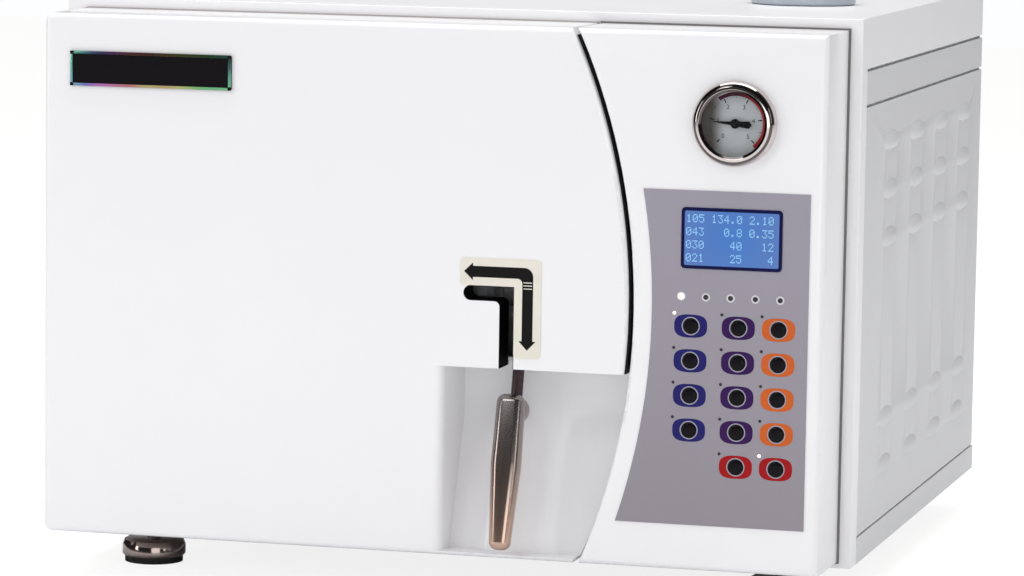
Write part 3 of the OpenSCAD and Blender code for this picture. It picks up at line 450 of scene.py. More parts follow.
DISC_TOP = 20 * MM
STUD_GAP = 0.06 * MM
THREAD_R = 5.6 * MM
THREAD_PITCH = 1.5 * MM
stud_steel = lined_metal("stud_steel", (0.56, 0.55, 0.54), 0.3, lambda tree: place_along(tree, "Z"),
                         lines=900)
for corner in ("front_left", "front_right", "rear_left", "rear_right"):
    thread = thread_mesh("foot_thread_" + corner, THREAD_R, THREAD_PITCH, DISC_TOP,
                         boxed("base_tray")[0].z - STUD_GAP, middle("foot_" + corner))
    finish_mesh("foot_thread_" + corner, thread, "foot_" + corner + "_body", stud_steel)


# Chamber and what it holds: a turned stainless vessel with a wire-and-plate rack and three
# bright trays; a heat-stained band heater and a woven glass jacket go round its outside.

def axis_of(name):
    """Rings about the node's own axis along Y."""
    centre = middle(name)
    return lambda tree: place_round(tree, centre)


def woven(name, colour, pitch):
    finish, tree, shader = new_finish(name, 0.9)
    place = add(tree, "ShaderNodeTexCoord").outputs["Object"]
    waves = []
    for axis, turn in (("X", 0.0), ("Y", math.pi / 2)):
        waves.append(add(tree, "ShaderNodeTexWave", {"Vector": place, "Scale": 1 / pitch, "Distortion": 0.6,
                                                     "Phase Offset": turn}, bands_direction=axis))
    both = add(tree, "ShaderNodeMath", {0: waves[0].outputs[1], 1: waves[1].outputs[1]}, operation="MULTIPLY")
    tree.links.new(two_tone(tree, both, shade_of(colour, 0.72), colour), shader.inputs["Base Color"])
    bump = add(tree, "ShaderNodeBump", {"Height": both, "Strength": 0.6, "Distance": 0.0006})
    tree.links.new(bump.outputs[0], shader.inputs["Normal"])
    return finish


def scaled_steel():
    """Steel that heat has tinted straw and blue in slow bands."""
    finish, tree, shader = new_finish("scaled_steel", 0.4, 1.0)
    place = add(tree, "ShaderNodeTexCoord").outputs["Object"]
    heat = add(tree, "ShaderNodeTexNoise", {"Vector": place, "Scale": 22.0, "Detail": 3.0})
    tint = add(tree, "ShaderNodeValToRGB", {0: heat})
    for place_at, colour in ((0.35, (0.30, 0.22, 0.13)), (0.52, (0.34, 0.27, 0.20)),
                             (0.66, (0.16, 0.17, 0.24))):
        stop = tint.color_ramp.elements.new(place_at)
        stop.color = (*colour, 1)
    tree.links.new(tint.outputs[0], shader.inputs["Base Color"])
    gloss = add(tree, "ShaderNodeMapRange", {"Value": heat, "To Min": 0.32, "To Max": 0.5})
    tree.links.new(gloss.outputs[0], shader.inputs["Roughness"])
    return finish


STEEL = (0.60, 0.59, 0.58)
dress("chamber", lined_metal("turned_steel", STEEL, 0.27, axis_of("chamber"), lines=1500), 0.0003)
dress("tray_rack", lined_metal("rack_steel", STEEL, 0.24, lambda tree: place_along(tree, "Z"), lines=1800))
dress("trays", lined_metal("tray_metal", (0.70, 0.71, 0.73), 0.33, lines=2200), 0.0002)
dress("band_heater", scaled_steel())
dress("chamber_lagging", woven("glass_jacket", (0.62, 0.56, 0.42), 0.004))


# Water side and electrics: a blow-moulded tank under a blue-grey quarter-turn cap, a painted
# iron pump, and the green board behind the keys with its tracks under the solder mask.

def moulded(name, colour, rough=0.35, scale=900, height=0.05, **plain):
    """Plain moulded plastic or rubber: fine grain, slow tone drift and faint scuffs."""
    finish, tree, shader = new_finish(name, rough, **plain)
    grain = add(tree, "ShaderNodeGroup", node_tree=surface_grain)
    grain.inputs["Scale"].default_value = scale
    tree.links.new(two_tone(tree, grain.outputs["Mottle"], shade_of(colour, 0.9), shade_of(colour, 1.1)),
                   shader.inputs["Base Color"])
    dulled = add(tree, "ShaderNodeMapRange", {"Value": grain.outputs["Scuff"], "To Min": rough,
                                              "To Max": min(rough + 0.12, 1)})
    tree.links.new(dulled.outputs[0], shader.inputs["Roughness"])
    bump = add(tree, "ShaderNodeBump", {"Height": grain.outputs["Height"], "Strength": height,
                                        "Distance": 0.0002})
    tree.links.new(bump.outputs[0], shader.inputs["Normal"])
    return finish


def board_finish():
    finish, tree, shader = new_finish("board_finish", 0.35)
    place = place_along(tree, "X")
    turned_place = add(tree, "ShaderNodeMapping", {"Vector": place, "Rotation": (math.pi / 2, 0, 0)})
    tracks = add(tree, "ShaderNodeTexBrick", {"Vector": turned_place, "Color1": (0.010, 0.085, 0.030, 1),
                                              "Color2": (0.012, 0.10, 0.036, 1),
                                              "Mortar": (0.05, 0.22, 0.08, 1),
                                              "Scale": 160.0, "Mortar Size": 0.03})
    tree.links.new(tracks.outputs["Color"], shader.inputs["Base Color"])
    ridge = add(tree, "ShaderNodeBump", {"Height": tracks.outputs["Fac"], "Strength": 0.3,
                                         "Distance": 0.0001})
    tree.links.new(ridge.outputs[0], shader.inputs["Normal"])
    return finish


dress("water_tank", moulded("tank_plastic", (0.78, 0.80, 0.80), 0.45, 700, 0.08), 0.002)
dress("filler_cap", moulded("cap_plastic", (0.40, 0.44, 0.49), 0.28, 800, 0.06), 0.0005)
dress("vacuum_pump", moulded("pump_paint", (0.05, 0.055, 0.065), 0.5, 420, 0.35), 0.0008)
dress("control_board", board_finish())


# Rear fittings: cross-recessed pan-head screws, a black mains inlet, a turned brass relief
# valve and a barbed brass drain tail.

def circle_loop(x, z, radius, steps=24):
    return [(x + radius * math.cos(math.tau * i / steps), z + radius * math.sin(math.tau * i / steps))
            for i in range(steps)]


def plate_mesh(name, loops, front, back, shape=None):
    """A flat plate between two depths: the first (x, z) loop is its outline, the rest are holes."""
    own = shape is None
    shape = shape or bmesh.new()
    points = [Vector((x, z, 0)) for loop in loops for x, z in loop]
    near = [shape.verts.new((p.x, front, p.y)) for p in points]
    far = [shape.verts.new((p.x, back, p.y)) for p in points]
    for a, b, c in tessellate_polygon([[Vector((x, z, 0)) for x, z in loop] for loop in loops]):
        shape.faces.new((near[a], near[b], near[c]))
        shape.faces.new((far[a], far[c], far[b]))
    start = 0
    for loop in loops:
        for i in range(len(loop)):
            j = (i + 1) % len(loop)
            shape.faces.new((near[start + i], near[start + j], far[start + j], far[start + i]))
        start += len(loop)
    return closed(name, shape) if own else shape


def cross_loop(x, z, half, arm):
    """A cross of the given half length and half arm width."""
    corners = [(half, arm), (arm, arm), (arm, half)]
    loop = []
    for quarter in range(4):
        for u, v in corners:
            for _ in range(quarter):
                u, v = -v, u
            loop.append((x + u, z + v))
    return loop


SCREW_R = 3.4 * MM
SCREW_IN = 12 * MM
LOW_ROW_UP = 8 * MM
SHEET_T = 2 * MM
rear_face = boxed("rear_panel")[1].y
side_x = boxed("rear_panel")[1].x + SHEET_T
low_row = boxed("side_panel_left")[0].z + LOW_ROW_UP
high_row = boxed("top_cover")[1].z - SCREW_IN
heads = bmesh.new()
for x in (-side_x + SCREW_IN, -side_x / 3, side_x / 3, side_x - SCREW_IN):
    for z in (low_row, high_row):
        spot = (x, z)
        plate_mesh("head", [circle_loop(*spot, SCREW_R * 0.86, 20), cross_loop(*spot, 1.9 * MM, 0.45 * MM)],
                   rear_face + 2.2 * MM, rear_face + 0.9 * MM, heads)
        plate_mesh("head", [circle_loop(*spot, SCREW_R, 20)], rear_face + 1.0 * MM, rear_face, heads)
screw_steel = lined_metal("screw_steel", (0.58, 0.58, 0.57), 0.3, lines=3000)
screws = finish_mesh("screw_heads", closed("screw_heads", heads), "cabinet", screw_steel,
                     0.0003)
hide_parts("cover_screws")

dress("power_inlet", moulded("inlet_plastic", (0.012, 0.012, 0.013), 0.45, 700, 0.12), 0.0004)
brass = lined_metal("turned_brass", (0.60, 0.42, 0.16), 0.3, lambda tree: place_along(tree, "Y"), lines=2400)
dress("safety_valve drain_spigot", brass, 0.0003)


# Door: one gloss white moulding with a scooped recess. A black strip over its curved free edge
# and a black lining in the L-shaped lever slot are dark pieces that paint the shade in the gap and slot; the
# grey seal round its back is coloured to paint the shadow line of the seam.
# Behind it are the pan, the pressure plate and a silicone gasket.

DOOR_WHITE = (0.872, 0.868, 0.880)
door_white = coated("door_white", DOOR_WHITE, rough=0.20, scale=240, height=0.05, worn=0.2)
dress("door_shell", door_white)

EDGE_R = 469 * MM
EDGE_RISE = 185 * MM
DOOR_GAP = 4 * MM
TRIM_T = 1.2 * MM
door_low, door_high = boxed("door_shell")
front_y = door_low.y
frame_y = boxed("front_frame")[0].y
edge_x = door_high.x - EDGE_R
edge_z = door_low.z + EDGE_RISE
RECESS_H = 138 * MM
recess_top = door_low.z + RECESS_H


def edge_arc(radius, low, high, steps=40):
    """Points along the door's curved free edge between two heights, from the lower one up."""
    first = math.asin((low - edge_z) / radius)
    last = math.asin((high - edge_z) / radius)
    return [(edge_x + radius * math.cos(first + (last - first) * i / steps),
             edge_z + radius * math.sin(first + (last - first) * i / steps)) for i in range(steps + 1)]


TRIM_IN = (3.6 * MM, 6.4 * MM)
TRIM_BITE = 0.02 * MM
TRIM_END = 5 * MM
edge_shade_finish = moulded("edge_shade_black", (0.010, 0.009, 0.008), 0.62, 1100, 0.2, Specular_IOR_Level=0.2)


def trim_mesh():
    """A strip over the free edge that starts deeper behind the front face toward the top."""
    shape = bmesh.new()
    inner = edge_arc(EDGE_R - TRIM_BITE, recess_top, door_high.z - TRIM_END)
    outer = edge_arc(EDGE_R + TRIM_T, recess_top, door_high.z - TRIM_END)
    rings = []
    for i, (near, far) in enumerate(zip(inner, outer)):
        start = front_y + TRIM_IN[0] + (TRIM_IN[1] - TRIM_IN[0]) * i / (len(inner) - 1)
        rings.append([shape.verts.new((x, y, z)) for (x, z), y in
                      ((near, start), (far, start), (far, door_high.y), (near, door_high.y))])
    for ring, following in zip(rings, rings[1:]):
        for i in range(4):
            shape.faces.new((ring[i], ring[(i + 1) % 4], following[(i + 1) % 4], following[i]))
    shape.faces.new(rings[0])
    shape.faces.new(rings[-1])
    return closed("edge_shade_strip", shape)


# Painted shade: this black strip stands in for the shade in the gap between the door's free edge and the
# fascia.
finish_mesh("edge_shade_strip", trim_mesh(), "door", edge_shade_finish, 0.0003)

CORNER_R = 8 * MM


def door_loop(gap):
    """The door's outline, drawn in by a gap or out where the gap is negative."""
    left, low, high = door_low.x + gap, door_low.z + gap, door_high.z - gap
    radius = CORNER_R - gap
    loop = edge_arc(EDGE_R - gap, low, high)
    for z, start in ((high - radius, 1), (low + radius, 2)):
        loop += [(left + radius + radius * math.cos(math.pi / 2 * (start + i / 6)),
                  z + radius * math.sin(math.pi / 2 * (start + i / 6))) for i in range(7)]
    return loop


SEAL_OUT = 1.0 * MM
SEAL_IN = 4 * MM
SEAL_GAP = 0.3 * MM
# Painted shade: the seal's grey stands in for the shadow line in the seam between the door's back and the
# front frame.
door_shade_seal = plate_mesh("door_shade_seal", [door_loop(-SEAL_OUT), door_loop(SEAL_IN)], door_high.y,
                       frame_y - SEAL_GAP)
seam_shade_grey = moulded("seam_shade_grey", (0.42, 0.40, 0.39), 0.6, 1100, 0.2, Specular_IOR_Level=0.2)
finish_mesh("door_shade_seal", door_shade_seal, "door", seam_shade_grey)

SLOT_HALF = 5.48 * MM
SLOT_TRAVEL = 27 * MM
SLOT_FILLET = 4 * MM
COLLAR_T = 0.5 * MM
COLLAR_IN = 0.2 * MM
COLLAR_DEPTH = 24 * MM
lever_x = middle("latch_swivel").x
slot_z = middle("latch_swivel").z


def slot_path(half, low):
    """The slot's outline from the foot of its right side round to the foot of its left side."""
    bend = SLOT_FILLET + (5.5 * MM - half)
    path = [(lever_x + half, low), (lever_x + half, slot_z + half)]
    path += [(lever_x - SLOT_TRAVEL + half * math.cos(a), slot_z + half * math.sin(a))
             for a in (math.pi / 2 + math.pi * i / 12 for i in range(13))]
    corner = (lever_x - half - bend, slot_z - half - bend)
    path += [(corner[0] + bend * math.cos(a), corner[1] + bend * math.sin(a))
             for a in (math.pi / 2 * (1 - i / 6) for i in range(7))]
    return path + [(lever_x - half, low)]


# Painted shade: a black lining in the lever slot stands in for the shade of the door's hollow inside.
slot_shade_black = moulded("slot_shade_black", (0.004, 0.004, 0.004), 0.6, 800, 0.06, Specular_IOR_Level=0.1)
slot_shade_loop = slot_path(SLOT_HALF, recess_top) + slot_path(SLOT_HALF - COLLAR_T, recess_top)[::-1]
slot_shade_mesh = plate_mesh("slot_shade_lining", [slot_shade_loop], front_y + COLLAR_IN, front_y + COLLAR_DEPTH)
finish_mesh("slot_shade_lining", slot_shade_mesh, "door", slot_shade_black)

pan_steel = lined_metal("pan_steel", STEEL, 0.34, lambda tree: place_along(tree, "Z"), lines=1900)
dress("door_liner", pan_steel, 0.0003)
plate_steel = lined_metal("plate_steel", STEEL, 0.2, axis_of("pressure_plate"), lines=1100, depth=0.2)
dress("pressure_plate", plate_steel, 0.0003)
dress("door_gasket", moulded("silicone", (0.60, 0.56, 0.50), 0.5, 500, 0.12), 0.0006)


# Name plate: a black moulded bar with a bevelled frame in foil that shifts from green
# through gold and red to violet along its length. Its face is bare.

def foil_finish():
    finish, tree, shader = new_finish("foil_finish", 0.22, 1.0)
    place = add(tree, "ShaderNodeTexCoord").outputs["Object"]
    along = add(tree, "ShaderNodeSeparateXYZ", {0: place}).outputs["X"]
    drift = add(tree, "ShaderNodeTexNoise", {"Vector": place, "Scale": 16.0, "Detail": 2.0})
    hue = add(tree, "ShaderNodeMath", {0: along, 1: 7.0, 2: drift}, operation="MULTIPLY_ADD")
    wrap = add(tree, "ShaderNodeMath", {0: hue}, operation="FRACT")
    tint = add(tree, "ShaderNodeCombineColor", {0: wrap, 1: 0.62, 2: 0.42}, mode="HSV")
    tree.links.new(tint.outputs[0], shader.inputs["Base Color"])
    gloss = add(tree, "ShaderNodeMapRange", {"Value": drift, "To Min": 0.15, "To Max": 0.34})
    tree.links.new(gloss.outputs[0], shader.inputs["Roughness"])
    return finish


def rounded_loop(low, high, radius, steps=5):
    """A rectangle in (x, z) with rounded corners."""
    loop = []
    for x, z, start in ((high[0] - radius, high[1] - radius, 0), (low[0] + radius, high[1] - radius, 1),
                        (low[0] + radius, low[1] + radius, 2), (high[0] - radius, low[1] + radius, 3)):
        loop += [(x + radius * math.cos(math.pi / 2 * (start + i / steps)),
                  z + radius * math.sin(math.pi / 2 * (start + i / steps))) for i in range(steps + 1)]
    return loop


def inset_loop(box, gap, radius):
    low, high = box
    return rounded_loop((low.x + gap, low.z + gap), (high.x - gap, high.z - gap), radius)


plate_box = boxed("door_plate")
plate_black = moulded("plate_black", (0.004, 0.003, 0.005), 0.3, 300, 0.02, Specular_IOR_Level=0.15)
dress("door_plate", plate_black, 0.0004)
BEVEL_W = 1.9 * MM
BEVEL_H = 0.7 * MM


def bevelled_frame(name, box, width, height):
    """A mitred moulding that rises from the plate's edge to an inner lip."""
    low, high = box
    shape = bmesh.new()
    rings = []
    for gap, out in ((0, 0), (width, height), (width + 0.2 * MM, height), (width + 0.2 * MM, 0)):
        rings.append([shape.verts.new((x, low.y - out, z)) for x, z in
                      ((low.x + gap, low.z + gap), (high.x - gap, low.z + gap), (high.x - gap, high.z - gap),
                       (low.x + gap, high.z - gap))])
    for ring, following in zip(rings, rings[1:] + rings[:1]):
        for i in range(4):
            j = (i + 1) % 4
            shape.faces.new((ring[i], ring[j], following[j], following[i]))
    return closed(name, shape)


finish_mesh("plate_frame", bevelled_frame("plate_frame", plate_box, BEVEL_W, BEVEL_H), "door", foil_finish())
corners = bmesh.new()
for x, side in ((plate_box[0].x, 1), (plate_box[1].x, -1)):
    for z, rise in ((plate_box[0].z, 1), (plate_box[1].z, -1)):
        reach = BEVEL_W * 1.3
        spots = [(x, z), (x + side * reach, z), (x + side * reach, z + rise * reach), (x, z + rise * reach)]
        plate_mesh("corner", [spots], plate_box[0].y - BEVEL_H * 1.1, plate_box[0].y + BEVEL_H, corners)
finish_mesh("plate_corners", closed("plate_corners", corners), "door", plate_black, 0.0002)


# Lever guide: an ivory vinyl label with a black double-headed arrow that turns a corner, and
# three thin bars under the corner. The words of such a label are left off.

def print_finish(name, colour, rough=0.5, **plain):
    """Screen-printed ink with a fine tooth and slight thin places."""
    finish, tree, shader = new_finish(name, rough, **plain)
    grain = add(tree, "ShaderNodeGroup", node_tree=surface_grain)
    grain.inputs["Scale"].default_value = 2600
    grain.inputs["Spread"].default_value = 90
    tree.links.new(two_tone(tree, grain.outputs["Mottle"], shade_of(colour, 0.93), shade_of(colour, 1.07)),
                   shader.inputs["Base Color"])
    gloss = add(tree, "ShaderNodeMapRange", {"Value": grain.outputs["Height"], "To Min": rough - 0.06,
                                             "To Max": rough + 0.06})
    tree.links.new(gloss.outputs[0], shader.inputs["Roughness"])
    return finish


INK = 0.06 * MM
BLACK = (0.006, 0.005, 0.005)
black_ink = print_finish("black_ink", BLACK, 0.5, Specular_IOR_Level=0.15)
dress("lever_guide", print_finish("label_vinyl", (0.785, 0.745, 0.655), 0.42))


def arrow_loop(label, shaft, head_l, head_w, outer, inner):
    """An arrow that runs right from its left head, turns down a corner and ends in a lower head."""
    leg = 20 * MM
    line_z = label[1].z - leg / 2
    line_x = label[1].x - leg / 2
    tip_x = label[0].x + 3 * MM
    tip_z = label[0].z + 6 * MM
    half = shaft / 2
    loop = [(tip_x, line_z), (tip_x + head_l, line_z + head_w / 2), (tip_x + head_l, line_z + half)]
    loop += [(line_x + half - outer + outer * math.sin(a), line_z + half - outer + outer * math.cos(a))
             for a in (math.pi / 2 * i / 6 for i in range(7))]
    loop += [(line_x + half, tip_z + head_l), (line_x + head_w / 2, tip_z + head_l), (line_x, tip_z),
             (line_x - head_w / 2, tip_z + head_l), (line_x - half, tip_z + head_l)]
    loop += [(line_x - half - inner + inner * math.cos(a), line_z - half - inner + inner * math.sin(a))
             for a in (math.pi / 2 * i / 6 for i in range(7))]
    return loop + [(tip_x + head_l, line_z - half), (tip_x + head_l, line_z - head_w / 2)]


label = boxed("lever_guide")
arrow = arrow_loop(label, 8 * MM, 6.7 * MM, 12.7 * MM, 6.5 * MM, 3.7 * MM)
bar_x = label[1].x - 10 * MM
BAR_HALF = 3.2 * MM
BAR_T = 0.7 * MM
bars = [[(bar_x - BAR_HALF, z), (bar_x + BAR_HALF, z), (bar_x + BAR_HALF, z + BAR_T),
         (bar_x - BAR_HALF, z + BAR_T)]
        for z in (label[1].z - (17 + 2.2 * i) * MM for i in range(3))]
face = label[0].y
label_print = plate_mesh("label_arrow", [arrow] + bars, face - INK, face + INK)
finish_mesh("label_arrow", label_print, "door", black_ink)


# Latch lever: a black-coated steel shank in a cast grip with a satin champagne finish that
# is brushed along its length; the grip's colour is a painted reflection, orange-brown at its foot and dark
# grey at its top.

def grip_finish():
    finish, tree, shader = new_finish("grip_finish", 0.3, 1.0)
    place = add(tree, "ShaderNodeTexCoord").outputs["Object"]
    height = add(tree, "ShaderNodeSeparateXYZ", {0: place}).outputs["Z"]
    low, high = boxed("lever_grip")
    rise = add(tree, "ShaderNodeMapRange", {"Value": height, "From Min": low.z, "From Max": high.z})
    marks = add(tree, "ShaderNodeGroup", {"Place": place_along(tree, "X")}, node_tree=metal_lines)
    marks.inputs["Lines"].default_value = 1500
    grain = add(tree, "ShaderNodeGroup", node_tree=surface_grain)
    grain.inputs["Spread"].default_value = 30
    # Painted reflection: the colour runs with height from a lighter orange-brown at the foot, as if the floor
    # were reflected there, to a dark grey at the top.
    drift = add(tree, "ShaderNodeMath", {0: grain.outputs["Mottle"], 1: 0.3, 2: rise},
                operation="MULTIPLY_ADD")
    tree.links.new(two_tone(tree, drift, (0.66, 0.44, 0.33), (0.38, 0.345, 0.335)),
                   shader.inputs["Base Color"])
    gloss = add(tree, "ShaderNodeMapRange", {"Value": marks.outputs["Streak"], "To Min": 0.19,
                                             "To Max": 0.30})
    tree.links.new(gloss.outputs[0], shader.inputs["Roughness"])
    bump = add(tree, "ShaderNodeBump", {"Height": marks.outputs["Height"], "Strength": 0.06,
                                        "Distance": 0.0001})
    tree.links.new(bump.outputs[0], shader.inputs["Normal"])
    return finish


dress("lever_grip", grip_finish(), 0.0024)
dress("lever_shank", moulded("lever_black", (0.050, 0.030, 0.034), 0.25, 700, 0.08, Specular_IOR_Level=0.3))


# Control fascia: the same gloss white moulding as the door, on a foam seal that holds it off the front frame;
# the seal's dark grey paints the shade of the seam between it and the frame.

dress("control_fascia", door_white)
fascia_low, fascia_high = boxed("control_fascia")


def fascia_loop(gap):
    """The fascia's outline, drawn in by a gap."""
    low, high = fascia_low.z + gap, fascia_high.z - gap
    return ([(fascia_high.x - gap, low), (fascia_high.x - gap, high)]
            + edge_arc(EDGE_R + DOOR_GAP + gap, low, high)[::-1])


# Painted shade: the foam's dark grey stands in for the shadow in the seam; the foam also carries the fascia.
seam_shade_foam = moulded("foam_with_painted_shade", (0.18, 0.172, 0.168), 0.85, 1500, 0.4, Specular_IOR_Level=0.2)
FOAM_OUT = 1.3 * MM
FOAM_T = 3 * MM
fascia_shade_seal = plate_mesh("fascia_seal_painted_shade", [fascia_loop(-FOAM_OUT), fascia_loop(SEAL_IN)], frame_y - FOAM_T, frame_y)
finish_mesh("fascia_seal_painted_shade", fascia_shade_seal, "cabinet", seam_shade_foam)


# Keypad: a mauve-grey printed polyester sheet with a coloured surround and a pale ring for
# each domed black key, white rings round the five lamps, and a backlit display window.

def overlay_finish():
    finish, tree, shader = new_finish("overlay_finish", 0.36)
    place = add(tree, "ShaderNodeTexCoord").outputs["Object"]
    height = add(tree, "ShaderNodeSeparateXYZ", {0: place}).outputs["Z"]
    fade = add(tree, "ShaderNodeMapRange", {"Value": height, "From Min": sheet[0].z, "From Max": sheet[1].z})
    grain = add(tree, "ShaderNodeGroup", node_tree=surface_grain)
    grain.inputs["Scale"].default_value = 3200
    drift = add(tree, "ShaderNodeMath", {0: grain.outputs["Mottle"], 1: 0.25, 2: fade},
                operation="MULTIPLY_ADD")
    tree.links.new(two_tone(tree, drift, (0.270, 0.242, 0.272), (0.318, 0.296, 0.348)),
                   shader.inputs["Base Color"])
    gloss = add(tree, "ShaderNodeMapRange", {"Value": grain.outputs["Height"], "To Min": 0.30,
                                             "To Max": 0.42})
    tree.links.new(gloss.outputs[0], shader.inputs["Roughness"])
    tooth = add(tree, "ShaderNodeBump", {"Height": grain.outputs["Height"], "Strength": 0.08,
                                         "Distance": 0.0001})
    tree.links.new(tooth.outputs[0], shader.inputs["Normal"])
    return finish


sheet = boxed("keypad_overlay")
dress("keypad_overlay", overlay_finish())
print_y = sheet[0].y


def surround_loop(x, z, width, height, power=2.9, steps=40):
    """A rounded lozenge, fuller than an ellipse."""
    loop = []
    for i in range(steps):
        c, s = math.cos(math.tau * i / steps), math.sin(math.tau * i / steps)
        loop.append((x + math.copysign(abs(c) ** (2 / power), c) * width / 2,
                     z + math.copysign(abs(s) ** (2 / power), s) * height / 2))
    return loop


def printed(name, shapes, finish):
    """Ink on the keypad sheet; each shape is an outline with its holes."""
    shape = bmesh.new()
    for loops in shapes:
        plate_mesh(name, loops, print_y - INK, print_y + INK / 2, shape)
    return finish_mesh(name, closed(name, shape), "cabinet", finish)


KEY_HOLE = 5.8 * MM
RING_R = 6.6 * MM
SURROUND_W = 24 * MM
SURROUND_H = 16.5 * MM
keys = [middle(f"key_{n}") for n in range(1, 15)]
COLOURS = {"blue": ((0.012, 0.010, 0.125), (1, 2, 3, 4)), "violet": ((0.032, 0.004, 0.078), (5, 6, 7, 8)),
           "orange": ((0.58, 0.112, 0.018), (10, 11, 12, 13)), "red": ((0.34, 0.002, 0.004), (9, 14))}
for name, (colour, numbers) in COLOURS.items():
    shapes = [[surround_loop(keys[n - 1].x, keys[n - 1].z, SURROUND_W, SURROUND_H),
               circle_loop(keys[n - 1].x, keys[n - 1].z, RING_R, 36)] for n in numbers]
    ink = print_finish("ink_" + name, colour, 0.34, Specular_IOR_Level=0.2)
    printed("surrounds_" + name, shapes, ink)
white_ink = print_finish("white_ink", (0.36, 0.35, 0.41), 0.4, Specular_IOR_Level=0.2)
printed("key_rings", [[circle_loop(k.x, k.z, RING_R, 36), circle_loop(k.x, k.z, KEY_HOLE, 36)] for k in keys],
        white_ink)

LED_R = 1.8 * MM
LED_RING_R = 3.0 * MM
LED_PITCH = 17.9 * MM
LED_SHIFT = 7.3 * MM
lens_box = boxed("indicator_lenses")
lamps = [Vector((keys[0].x - LED_SHIFT + i * LED_PITCH, lens_box[0].y, lens_box[1].z - LED_R))
         for i in range(5)]
printed("lamp_rings", [[circle_loop(p.x, p.z, LED_RING_R), circle_loop(p.x, p.z, LED_R)] for p in lamps],
        print_finish("lamp_ring_ink", (0.70, 0.68, 0.70), 0.4, Specular_IOR_Level=0.2))


def lens_finish():
    """Smoked lenses; the ones at the lit spots glow warm white."""
    finish, tree, shader = new_finish("lens_finish", 0.12, Emission_Strength=2.2)
    place = add(tree, "ShaderNodeTexCoord").outputs["Object"]
    spots = [lamps[0]] + [Vector((keys[n].x - 12 * MM, lens_box[0].y, keys[n].z + 9 * MM)) for n in (0, 13)]
    lit = None
    for spot in spots:
        reach = add(tree, "ShaderNodeVectorMath", {0: place, 1: tuple(spot)}, operation="DISTANCE")
        near = add(tree, "ShaderNodeMath", {0: reach.outputs["Value"], 1: 9 * MM}, operation="LESS_THAN")
        lit = near if lit is None else add(tree, "ShaderNodeMath", {0: lit, 1: near}, operation="MAXIMUM")
    dust = add(tree, "ShaderNodeTexNoise", {"Vector": place, "Scale": 900.0})
    dull = two_tone(tree, dust, (0.010, 0.009, 0.010), (0.03, 0.028, 0.03))
    tint = add(tree, "ShaderNodeMix", {0: lit, 6: dull, 7: (0.9, 0.8, 0.72, 1)}, data_type="RGBA")
    tree.links.new(tint.outputs[2], shader.inputs["Base Color"])
    glow = two_tone(tree, lit, (0.0, 0.0, 0.0), (1.0, 0.82, 0.66))
    tree.links.new(glow, shader.inputs["Emission Color"])
    return finish


dress("indicator_lenses", lens_finish())
key_black = moulded("key_black", (0.005, 0.004, 0.006), 0.28, 1200, 0.04, Specular_IOR_Level=0.12)
dress(" ".join(f"key_{n}" for n in range(1, 15)), key_black)

window = boxed("lcd_window")
dress("lcd_window", moulded("window_navy", (0.002, 0.003, 0.052), 0.14, 500, 0.01, Specular_IOR_Level=0.15))
GLASS_IN = 2.4 * MM
PANE = 0.08 * MM


def screen_finish():
    """A backlit screen, brightest at its middle, with a faint line for each row of cells."""
    finish, tree, shader = new_finish("screen_finish", 0.18, Emission_Strength=1.0)
    place = add(tree, "ShaderNodeTexCoord").outputs["Object"]
    reach = add(tree, "ShaderNodeVectorMath", {0: place, 1: tuple(middle("lcd_window"))},
                operation="DISTANCE")
    glow = add(tree, "ShaderNodeMapRange", {"Value": reach.outputs["Value"], "From Min": 0.042,
                                            "From Max": 0.004})
    cells = add(tree, "ShaderNodeTexWave", {"Vector": place, "Scale": 320.0}, bands_direction="Z")
    level = add(tree, "ShaderNodeMath", {0: cells.outputs[1], 1: 0.12, 2: glow}, operation="MULTIPLY_ADD")
    tree.links.new(two_tone(tree, level, (0.075, 0.125, 0.30), (0.022, 0.105, 0.32)),
                   shader.inputs["Emission Color"])
    tree.links.new(two_tone(tree, level, (0.02, 0.06, 0.18), (0.03, 0.08, 0.22)), shader.inputs["Base Color"])
    return finish


finish_mesh("screen", plate_mesh("screen", [inset_loop(window, GLASS_IN, 1.2 * MM)], window[0].y - PANE,
                                 window[0].y + PANE), "cabinet", screen_finish())

# Display read-out: plain numbers in the display's own dot cells, five across and seven down
# to a figure, which light up a little paler than the screen.
DOTS = {"0": (14, 17, 19, 21, 25, 17, 14), "1": (4, 12, 4, 4, 4, 4, 14), "2": (14, 17, 1, 2, 4, 8, 31),
        "3": (31, 2, 4, 2, 1, 17, 14), "4": (2, 6, 10, 18, 31, 2, 2), "5": (31, 16, 30, 1, 1, 17, 14),
        "8": (14, 17, 17, 14, 17, 17, 14), ".": (0, 0, 0, 0, 0, 12, 12)}
LINES = ("105 134.0 2.10", "043   0.8 0.35", "030    40   12", "021    25    4")
CELL = 0.76 * MM
LINE_PITCH = 9.3 * MM
read_out = bmesh.new()
left = window[0].x + GLASS_IN + 1.2 * MM
top = window[1].z - GLASS_IN - 2.4 * MM
for row, line in enumerate(LINES):
    for column, figure in enumerate(line):
        for down, bits in enumerate(DOTS.get(figure, ())):
            for across in range(5):
                if bits >> (4 - across) & 1:
                    x = left + column * 6 * CELL + across * CELL
                    z = top - row * LINE_PITCH - down * CELL * 1.1
                    dot = [(x, z - CELL * 0.9), (x + CELL * 0.85, z - CELL * 0.9), (x + CELL * 0.85, z),
                           (x, z)]
                    plate_mesh("dot", [dot], window[0].y - 2 * PANE, window[0].y - 0.5 * PANE, read_out)


